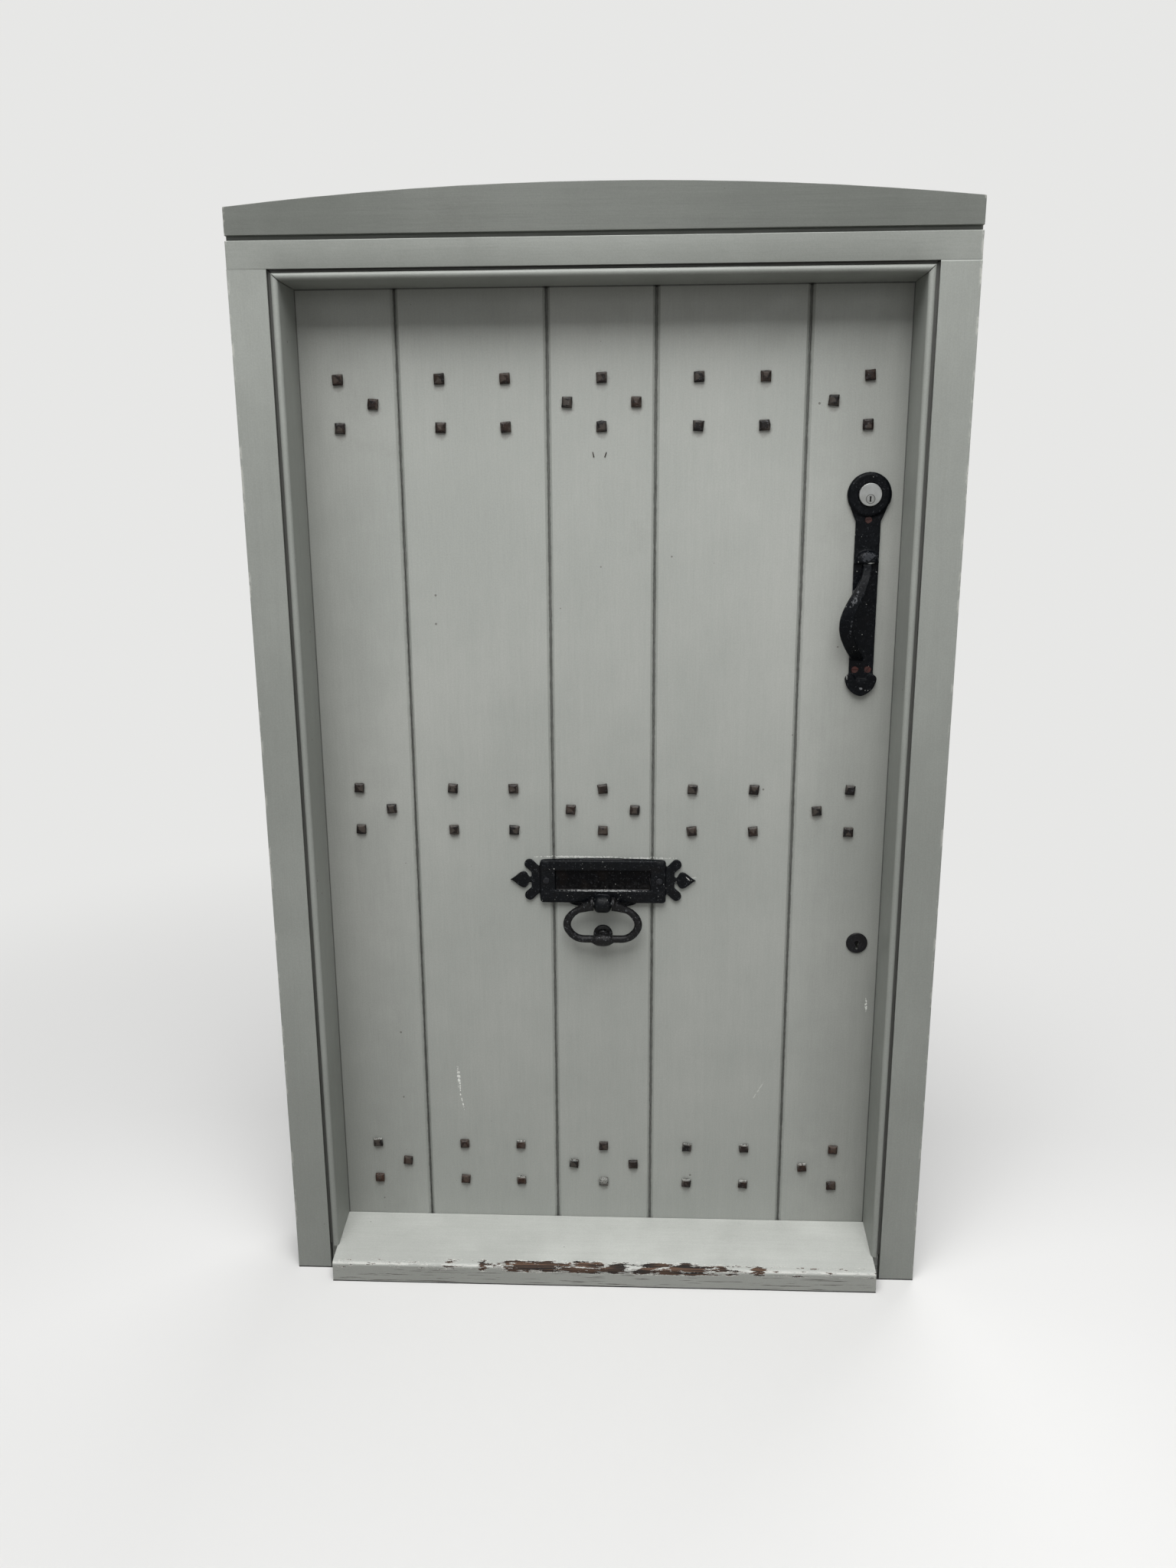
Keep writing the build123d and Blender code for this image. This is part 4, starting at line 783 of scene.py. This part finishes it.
# %% Group: worn iron
worn_iron, given, result = new_group(
    "worn iron",
    [PLACE, ("Edge", FLOAT, 0.5), ("Paint", COLOUR, (0.01, 0.01, 0.01, 1)),
     ("Rust", COLOUR, (0.1, 0.04, 0.02, 1)), ("Bare", COLOUR, (0.3, 0.28, 0.26, 1)), ("Wear", FLOAT, 0.5),
     ("Rust amount", FLOAT, 0.3), ("Sparkle", FLOAT, 0.2)],
    [("Colour", COLOUR), ("Roughness", FLOAT), ("Height", FLOAT)],
)
g = worn_iron
lumps = cloud(g, given["Place"], 150.0, 4.0, 0.62)
grit = cloud(g, given["Place"], 320.0, 4.0, 0.72)
stain = cloud(g, given["Place"], 38.0, 4.0, 0.6)
edge = band(g, plus(g, given["Edge"], swing(g, lumps, 0.12)), 0.535, 0.60)
edge = times(g, edge, given["Wear"])
rusted = times(g, band(g, stain, 0.48, 0.68), given["Rust amount"])
painted_glint_mask = times(g, band(g, grit, 0.59, 0.68), given["Sparkle"])
# Painted sheen on the tops of the lumps, then rust, then painted glints on the grit.
colour = mixed(g, band(g, lumps, 0.45, 0.8, 0.0, 0.12), given["Paint"], tone("33353A"))
colour = mixed(g, rusted, colour, given["Rust"])
colour = mixed(g, painted_glint_mask, colour, tone("84878C"))
feed(g, result["Colour"], mixed(g, edge, colour, given["Bare"]))
rough = plus(g, band(g, grit, 0.3, 0.7, 0.26, 0.46), times(g, rusted, 0.3))
feed(g, result["Roughness"], rough)
feed(g, result["Height"], summed(g, (lumps, 0.7), (grit, 0.3)))


# %% Finish: painted and rusty iron
def iron(name, paint, rust, bare, wear, rust_amount, bump, shine=0.16, flecks=0.0, studs=False,
         painted_glints=0.2, marks=()):
    finish, tree, shader, place = new_finish(name)
    shader.inputs["Specular IOR Level"].default_value = shine
    edge = add_node(tree, "NewGeometry").outputs["Pointiness"]
    worn = use_group(
        tree, worn_iron, Place=place, Edge=edge, Paint=tone(paint), Rust=tone(rust), Bare=tone(bare),
        Wear=wear, Rust_amount=rust_amount, Sparkle=painted_glints,
    )
    colour = worn["Colour"]
    if studs:
        # Rust, then pale upper rims: a painted highlight, and door paint on one stud.
        for attribute, code, amount in (("rusting", "4C3428", 0.7), ("rim_highlight_and_paint", "A9ABA6", 0.85)):
            share = add_node(tree, "Attribute", attribute_name=attribute).outputs["Fac"]
            broken = band(tree, cloud(tree, place, 300.0, 4.0, 0.7), 0.38, 0.56)
            share = times(tree, share, times(tree, broken, amount))
            colour = mixed(tree, share, colour, tone(code))
    if flecks:
        from_dot, pick = cells(tree, place, 240.0)
        few = maths(tree, "GREATER_THAN", pick["Red"], 1.0 - flecks)
        fleck = times(tree, few, maths(tree, "LESS_THAN", from_dot, 0.16))
        colour = mixed(tree, times(tree, fleck, 0.7), colour, tone("A9ABA6"))
    colour = marked(tree, place, colour, marks)
    coat(tree, shader, colour, worn["Roughness"], worn["Height"], bump, 0.7)
    return finish


# %% Painted highlights and marks on the handle and the letterplate
lock_low, lock_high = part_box("cylinder_body")
lock_x = (lock_low.x + lock_high.x) / 2
lock_z = (lock_low.z + lock_high.z) / 2
# All but the second are painted highlights and sheen on the hood, grip and foot; the second is a small pale
# mark. Rust rings round the screws follow.
handle_highlights_and_marks = [
    (lock_x + 0.005, lock_z - 0.1018, 0.008, 0.0008, 0.0, 0.2, "B5B6B2", 0.9),
    (lock_x - 0.020, lock_z - 0.0590, 0.0012, 0.0018, 0.0, 0.0, "C9CAC6", 0.9),
    (lock_x - 0.022, lock_z - 0.2780, 0.0010, 0.0035, 0.0, 0.2, "8D8E8B", 0.8),
    (lock_x, lock_z - 0.2950, 0.0035, 0.0022, 0.0, 0.2, "77787A", 0.7),
    (lock_x + 0.001, lock_z - 0.0930, 0.0130, 0.0075, 0.0, 0.2, "4A4C50", 0.55),
    (lock_x - 0.021, lock_z - 0.1540, 0.0055, 0.0170, 0.45, 0.75, "85878A", 0.42),
    (lock_x - 0.024, lock_z - 0.1960, 0.0035, 0.0220, 0.0, 1.0, "6E7074", 0.42),
]
rust_ring = (0.0058, 0.0058, 0.0, 0.3, "4B2B27", 0.6)
for low, high in islands("handle_screws"):
    handle_highlights_and_marks.append(((low.x + high.x) / 2, (low.z + high.z) / 2) + rust_ring)
# The first two are painted highlights: the lit ledge under the flap and a lit edge of the right finial. The
# third is a small pale mark.
plate_highlights_and_marks = [
    (-0.001, 0.6692, 0.070, 0.0009, 0.0, 0.3, "8E8F8E", 0.85),
    (0.140, 0.6905, 0.0012, 0.0040, -0.9, 0.2, "C9CAC6", 0.8),
    (-0.0800, 0.7070, 0.0016, 0.0012, 0.0, 0.1, "C9CAC6", 0.8),
]
print("marks on the handle", len(handle_highlights_and_marks), "on the letterplate", len(plate_highlights_and_marks))

# %% Finishes: cast iron, studs, hinge straps
black_iron = iron(
    "black iron", "040609", "0D0B0C", "2B2B2C", 0.35, 0.25, 0.0016,
    shine=0.07, flecks=0.06, painted_glints=0.15, marks=handle_highlights_and_marks,
)
plate_iron = iron(
    "letterplate iron", "05070A", "12100F", "3F3F40", 0.5, 0.3, 0.0016,
    shine=0.10, flecks=0.05, painted_glints=0.36, marks=plate_highlights_and_marks,
)
flap_iron = iron(
    "flap iron", "050506", "1A1512", "3A3836", 0.3, 0.4, 0.0012,
    shine=0.05, flecks=0.03, painted_glints=0.14,
)
bolt_iron = iron("knocker iron", "1C1D20", "2A2421", "5C5956", 0.5, 0.3, 0.0008, shine=0.14)
ring_iron = iron("handled iron", "040405", "171412", "6E6B68", 0.8, 0.4, 0.0024, shine=0.18, painted_glints=0.62)
stud_iron = iron("stud iron", "100E0E", "30241C", "5A534D", 0.45, 0.6, 0.0016, painted_glints=0.42, studs=True)
hinge_iron = iron("japanned iron", "0C0C0E", "241D1A", "3A3735", 0.4, 0.2, 0.0005)
rusted_screw = iron("rusted screw", "33211F", "4E2B27", "4A3632", 0.3, 0.8, 0.0005, painted_glints=0.05)

# %% Finishes: satin brass, zinc, enamel and the strip
turned_rings = 9000.0
inner_ring_share = 0.66


def plain_metal(name, code, metallic, rough_low, rough_high, scale, bump):
    finish, tree, shader, place = new_finish(name)
    shader.inputs["Metallic"].default_value = metallic
    marks = cloud(tree, place, scale, 4.0, 0.6)
    smudge = band(tree, cloud(tree, place, 60.0, 3.0, 0.5), 0.35, 0.75, 0.0, 0.35)
    colour = mixed(tree, smudge, tone(code), tone("6A6863"))
    coat(tree, shader, colour, band(tree, marks, 0.3, 0.7, rough_low, rough_high), marks, bump, 0.5)
    return finish


def lock_face_metal(name, code):
    """Satin metal with a dark joint round the plug and fine turned rings about the cylinder."""
    finish, tree, shader, place = new_finish(name)
    shader.inputs["Metallic"].default_value = 0.7
    low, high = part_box("cylinder_plug")
    x, y, z = axes(tree, place)
    side = squared(tree, minus(tree, x, (low.x + high.x) / 2))
    rise = squared(tree, minus(tree, z, (low.z + high.z) / 2))
    radius = maths(tree, "SQRT", plus(tree, side, rise))
    plug_radius = (high.x - low.x) / 2
    off_joint = maths(tree, "ABSOLUTE", minus(tree, radius, plug_radius))
    joint = band(tree, off_joint, 0.00025, 0.0008, 0.75, 0.0)
    off_inner = maths(tree, "ABSOLUTE", minus(tree, radius, plug_radius * inner_ring_share))
    inner = band(tree, off_inner, 0.0002, 0.0006, 0.4, 0.0)
    smudge = band(tree, cloud(tree, place, 70.0, 3.0, 0.5), 0.35, 0.75, 0.0, 0.4)
    colour = mixed(tree, smudge, tone(code), tone("66655F"))
    colour = mixed(tree, maths(tree, "MAXIMUM", joint, inner), colour, tone("2B2A28"))
    marks = cloud(tree, place, 500.0, 4.0, 0.6)
    rings = maths(tree, "SINE", times(tree, radius, turned_rings))
    height = plus(tree, marks, times(tree, rings, 0.2))
    coat(tree, shader, colour, band(tree, marks, 0.3, 0.7, 0.38, 0.52), height, 0.00006, 0.5)
    return finish


satin_metal = lock_face_metal("satin metal", "8F9190")
zinc_metal = plain_metal("zinc metal", "A5A8A9", 0.9, 0.3, 0.5, 300.0, 0.00008)
lock_brass = plain_metal("lock brass", "B08D4B", 1.0, 0.28, 0.45, 260.0, 0.00006)
lock_enamel = plain_metal("lock enamel", "3A2E27", 0.0, 0.35, 0.5, 180.0, 0.0002)
strip_black = plain_metal("black strip", "151515", 0.0, 0.7, 0.9, 120.0, 0.0003)
print("materials", len(bpy.data.materials))

# %% [markdown]
# ## Forged studs
# Each stud is a nail with a square head, hammered hot, so no two are alike. A head starts as a
# cube on the CAD stud's own box. Its front rim is bevelled, and every corner is then pushed a
# little by a seeded random number. The shank is the square nail that goes into the ledge.

# %% Helpers: head and shank of a stud
def stud_head_mesh(chance):
    """One head of side 2 and depth 1 about the origin, front towards -Y, with its own dents."""
    build = bmesh.new()
    bmesh.ops.create_cube(build, size=2.0)
    bmesh.ops.scale(build, vec=(1.0, 0.5, 1.0), verts=build.verts)
    bmesh.ops.translate(build, vec=(0.0, -0.5, 0.0), verts=build.verts)
    front = [e for e in build.edges if all(v.co.y < -0.9 for v in e.verts)]
    bevel_edges(build, front, 0.36 + 0.08 * chance.random(), 1)
    bmesh.ops.subdivide_edges(build, edges=build.edges, cuts=1, use_grid_fill=True)
    for vertex in build.verts:
        inner = vertex.co.y < -0.05
        push = 0.055 if inner else 0.02
        vertex.co.x += push * (chance.random() - 0.5) * 2
        vertex.co.z += push * (chance.random() - 0.5) * 2
        if inner:
            vertex.co.y *= 1.0 - 0.16 * chance.random()
    bevel_edges(build, sharp_edges(build, 25.0), 0.09, 2)
    return build


def add_shank(build, half, depth_end):
    made = bmesh.ops.create_cube(build, size=1.0)["verts"]
    bmesh.ops.scale(build, vec=(2 * half, depth_end, 2 * half), verts=made)
    bmesh.ops.translate(build, vec=(0.0, depth_end / 2, 0.0), verts=made)
    tip = [v for v in made if v.co.y > depth_end * 0.9]
    bmesh.ops.scale(build, vec=(0.35, 1.0, 0.35), verts=tip)


# %% Helper: rust, painted rim highlights and door paint, stud by stud
def age_studs(mesh, row, chance):
    """Store on each vertex how rusty its stud is and how pale its upper rim is: a painted highlight, with
    real door paint on one stud of the bottom row.
    """
    middles = [((low + high) / 2, (high.x - low.x) / 2) for low, high in stud_boxes[row]]
    lowest = min(middles, key=lambda entry: (round(abs(entry[0].x), 2), entry[0].z))
    exposed = row == "studs_bottom"
    ages = [chance.random() ** 2 * (1.0 if exposed else 0.35) for entry in middles]
    rim_highlights = [chance.choice((0.1, 0.7, 1.0)) if exposed else 0.12 for entry in middles]
    rusting = mesh.attributes.new("rusting", "FLOAT", "POINT")
    rim_highlight_and_paint = mesh.attributes.new("rim_highlight_and_paint", "FLOAT", "POINT")
    for vertex in mesh.vertices:
        nearest = min(range(len(middles)), key=lambda i: (middles[i][0].xz - vertex.co.xz).length)
        middle, half = middles[nearest]
        up = (vertex.co.z - middle.z) / half
        rusting.data[vertex.index].value = ages[nearest]
        # Painted highlight on the upper rim, and real door paint on the lowest middle stud.
        rim_paleness = min(1.0, max(0.0, (up - 0.62) / 0.25)) * rim_highlights[nearest]
        if exposed and middle is lowest[0]:
            rim_paleness = max(rim_paleness, 0.75 if up > -0.2 else 0.2)
        rim_highlight_and_paint.data[vertex.index].value = rim_paleness


# %% Three rows of studs
head_fit = 0.96
shank_half = 0.00195
lean_limit = 6.0


def stud_row_piece(row, seed):
    chance = random.Random(seed)
    whole = bmesh.new()
    for low, high in stud_boxes[row]:
        head = stud_head_mesh(chance)
        half = (high.x - low.x) / 2 * head_fit
        turn = Matrix.Rotation(math.radians(chance.uniform(-lean_limit, lean_limit)), 4, "Y")
        size = Matrix.Diagonal((half, -low.y, half, 1.0))
        middle = (low + high) / 2
        place = Matrix.Translation((middle.x, 0.0, middle.z))
        bmesh.ops.transform(head, matrix=place @ turn @ size, verts=head.verts)
        shank = bmesh.new()
        add_shank(shank, shank_half, high.y)
        bmesh.ops.transform(shank, matrix=place, verts=shank.verts)
        for part in (head, shank):
            holder = stored(part, "holder")
            whole.from_mesh(holder)
            bpy.data.meshes.remove(holder)
    bmesh.ops.recalc_face_normals(whole, faces=whole.faces)
    piece = keep_piece(whole, row + "_forged", row, stud_iron, 50.0)
    age_studs(piece.data, row, chance)


for seed, row in enumerate(stud_rows, 40):
    stud_row_piece(row, seed)

# %% [markdown]
# ## Cast iron pieces
# The letterplate, knocker and pull handle were cast in sand and painted black many times. All
# their edges are soft and the faces ripple. A voxel remesh of the CAD copy gives even small
# faces, smoothing rounds them, and a fine noise moves them along their normals.
#
# Two castings get a little more. The letterplate's ends stand proud between its rails, so that
# the flap lies in a sunk panel, with a low disc in each corner: these are added before the
# remesh, which welds them on. The ring's bar is made fuller afterwards, by moving its vertices.

# %% Helper: cast copy
def cast_piece(node, finish, grain, rounds, ripple, ripple_scale, seed, add=None, after=None):
    source = clean_copy(node)
    if add:
        add(source)
    holder = new_object("cast source", stored(source, "cast source"))
    remesh = holder.modifiers.new("even faces", "REMESH")
    remesh.mode = "VOXEL"
    remesh.voxel_size = grain
    smooth = holder.modifiers.new("soft edges", "SMOOTH")
    smooth.factor = 0.5
    smooth.iterations = rounds
    graph = bpy.context.evaluated_depsgraph_get()
    even = bpy.data.meshes.new_from_object(holder.evaluated_get(graph))
    bpy.data.objects.remove(holder)
    build = bmesh.new()
    build.from_mesh(even)
    bpy.data.meshes.remove(even)
    if after:
        after(build)
    waver(build, ripple, ripple_scale, seed)
    keep_piece(build, node + "_cast", node, finish, 80.0)


# %% Helpers: end fields of the letterplate, fuller bar of the ring
end_field_gap = 0.0015
end_field_reach = 0.1030
end_field_front = 0.0088
end_field_lap = 0.003
disc_x = 0.0940
disc_y = -0.0078
disc_above = 0.0018
disc_below = 0.0118
ring_swell = 0.0011
ring_pad = 0.0030
ring_pad_half = 0.019
ring_eye = 0.008
ring_eye_fade = 0.014


def add_end_fields(build):
    """Raise the plate between its two rails at both ends, so that the flap lies in a sunk panel."""
    flap_low, flap_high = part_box("letter_flap")
    inner = flap_high.x + end_field_gap
    for side in (-1, 1):
        centre = (side * (inner + end_field_reach) / 2, -end_field_front / 2, (flap_low.z + flap_high.z) / 2)
        size = (end_field_reach - inner, end_field_front, flap_high.z - flap_low.z + 2 * end_field_lap)
        made = bmesh.ops.create_cube(build, size=1.0)["verts"]
        bmesh.ops.scale(build, vec=size, verts=made)
        bmesh.ops.translate(build, vec=centre, verts=made)
        for disc_z in (flap_high.z + disc_above, flap_low.z - disc_below):
            disc = bmesh.ops.create_cone(
                build, cap_ends=True, segments=20, radius1=0.0068, radius2=0.0055, depth=0.0060,
            )["verts"]
            bmesh.ops.rotate(build, matrix=Matrix.Rotation(math.radians(90.0), 3, "X"), verts=disc)
            bmesh.ops.translate(build, vec=(side * disc_x, disc_y, disc_z), verts=disc)


def swell_ring(build):
    """Thicken the ring's bar sideways and forwards below its eyes, and weigh down its middle."""
    build.normal_update()
    pivot = sum(corner.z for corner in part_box("knocker_pin")) / 2
    moves = [(v, v.normal.copy()) for v in build.verts]
    for vertex, normal in moves:
        share = min(1.0, max(0.0, (pivot - vertex.co.z - ring_eye) / ring_eye_fade))
        pad = share * max(0.0, 1.0 - (vertex.co.x / ring_pad_half) ** 4)
        normal.y = min(normal.y, 0.0)
        vertex.co += normal * ring_swell * share
        vertex.co.y += normal.y * ring_pad * 0.5 * pad
        vertex.co.z += min(normal.z, 0.0) * ring_pad * pad


# %% Letterplate, pull handle, ring and stud
plate_grain = 0.0011
ring_grain = plate_grain * 0.6
cast_piece("letterplate", plate_iron, plate_grain, 4, 0.00022, 90.0, 21, add=add_end_fields)
cast_piece("pull_handle", black_iron, plate_grain, 4, 0.0004, 110.0, 22)
cast_piece("knocker_ring", ring_iron, ring_grain, 3, 0.0003, 120.0, 23, after=swell_ring)
cast_piece("knocker_stud", ring_iron, ring_grain, 3, 0.0002, 120.0, 24)

# %% [markdown]
# ## Turned and pressed metal
# The cylinder, flap, hinges and lock cases were turned, pressed or cut from sheet, so they keep
# crisp forms. A bevel of a few tenths of a millimetre is enough to give each edge its glint.
# The flap is widened a little to close its joint in the softened casting, and the heads of the
# letterplate's bolts are lifted on to the end fields.

# %% Hardware with crisp edges
crisp_radius = 0.0003
bolt_head_front = 0.0049
fitted = {"letter_flap": (0.00055, 0.0), "letterplate_bolts": (0.0, 0.0037)}


def crisp_metal(node, finish):
    build = clean_copy(node)
    widen, lift = fitted.get(node, (0.0, 0.0))
    for vertex in build.verts:
        vertex.co.x += math.copysign(widen, vertex.co.x)
        if vertex.co.y < -bolt_head_front:
            vertex.co.y -= lift
    ease_edges(build, crisp_radius, 35.0)
    keep_piece(build, node + "_metal", node, finish, 35.0)


crisp = (
    (satin_metal, "cylinder_body cylinder_plug"),
    (flap_iron, "letter_flap"),
    (hinge_iron, "keyhole_escutcheon"),
    (lock_brass, "latch_knob latch_bolt deadbolt"),
    (lock_enamel, "night_latch_case deadlock_case latch_keep deadlock_keep"),
    (hinge_iron, "hinge_strap_top hinge_strap_bottom hinge_cross_plate_top hinge_cross_plate_bottom"),
    (zinc_metal, "cylinder_clamp_plate"),
    (bolt_iron, "letterplate_bolts"),
)
for finish, names in crisp:
    for name in names.split():
        crisp_metal(name, finish)

# %% [markdown]
# ## Screws and old pins
# The handle's three screws have gone brown with rust, and their driver slots stop at any angle.
# A slot is two cuts across the flat of the head and the strip between them pushed in, which
# keeps the head one closed solid. Two thin pins are left in the middle board from something
# that once hung there, each a slender cone that leans its own way.

# %% Slotted screws in the handle
slot_width = 0.0012
slot_depth = 0.0009
head_reach = 0.005
flat_limit = 0.00002


def cut_slot(build, low, high, turn):
    """Sink a driver slot into the flat front of one screw head."""
    middle = Vector(((low.x + high.x) / 2, low.y, (low.z + high.z) / 2))
    across = Vector((math.cos(turn), 0.0, math.sin(turn)))

    def front():
        near = [f for f in build.faces if (f.calc_center_median() - middle).length < head_reach]
        return [f for f in near if max(abs(v.co.y - low.y) for v in f.verts) < flat_limit]

    for side in (-1, 1):
        cap = front()
        geometry = cap + list({e for f in cap for e in f.edges}) + list({v for f in cap for v in f.verts})
        point = middle + across * side * slot_width / 2
        bmesh.ops.bisect_plane(build, geom=geometry, plane_co=point, plane_no=across)
    strip = min(front(), key=lambda f: (f.calc_center_median() - middle).length)
    made = bmesh.ops.extrude_face_region(build, geom=[strip])["geom"]
    floor_verts = [v for v in made if isinstance(v, bmesh.types.BMVert)]
    bmesh.ops.translate(build, vec=(0.0, slot_depth, 0.0), verts=floor_verts)
    if strip.is_valid:
        bmesh.ops.delete(build, geom=[strip], context="FACES_ONLY")


slotted = clean_copy("handle_screws")
chance = random.Random(61)
for low, high in islands("handle_screws"):
    cut_slot(slotted, low, high, chance.uniform(0.0, math.pi))
keep_piece(slotted, "handle_screws_slotted", "handle_screws", rusted_screw, 35.0)

# %% Two old pins in the third board
pin_y = -0.0004
pin_droop = 4.0
pins = bmesh.new()
for pin_x, pin_z, lean in ((-0.0128, 1.3636, -12.0), (0.0058, 1.3634, 20.0)):
    shaft = bmesh.ops.create_cone(
        pins, cap_ends=True, segments=10, radius1=0.0010, radius2=0.0007, depth=0.0080,
    )["verts"]
    tilt = Matrix.Rotation(math.radians(lean), 4, "Y") @ Matrix.Rotation(math.radians(pin_droop), 4, "X")
    bmesh.ops.transform(pins, matrix=Matrix.Translation((pin_x, pin_y, pin_z)) @ tilt, verts=shaft)
pin_mesh = stored(pins, "old_pins")
pin_mesh.materials.append(stud_iron)
old_pins = new_object("old_pins", pin_mesh)
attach(old_pins, body_of_node["board_3"])
print("old pins", len(pin_mesh.polygons), "faces")

# %% [markdown]
# ## What keeps its CAD mesh
# Pins, rods, nuts and the strip under the sill are already the right shape. They only need a
# finish, which goes on the CAD object's own material slots.

# %% Finishes for the remaining nodes
carried = (
    (strip_black, "damp_strip"),
    (hinge_iron, "hinge_pin_top hinge_pin_bottom"),
    (zinc_metal, "hinge_screws_leaf hinge_screws_frame lock_screws keep_screws cylinder_clamp_screws"),
    (zinc_metal, "letterplate_nuts flap_rod knocker_pin"),
)
for finish, names in carried:
    for name in names.split():
        slots = frame["nodes"][name].material_slots
        if not slots:
            frame["nodes"][name].data.materials.append(finish)
        for entry in slots:
            entry.material = finish
        print(name, "keeps its mesh")
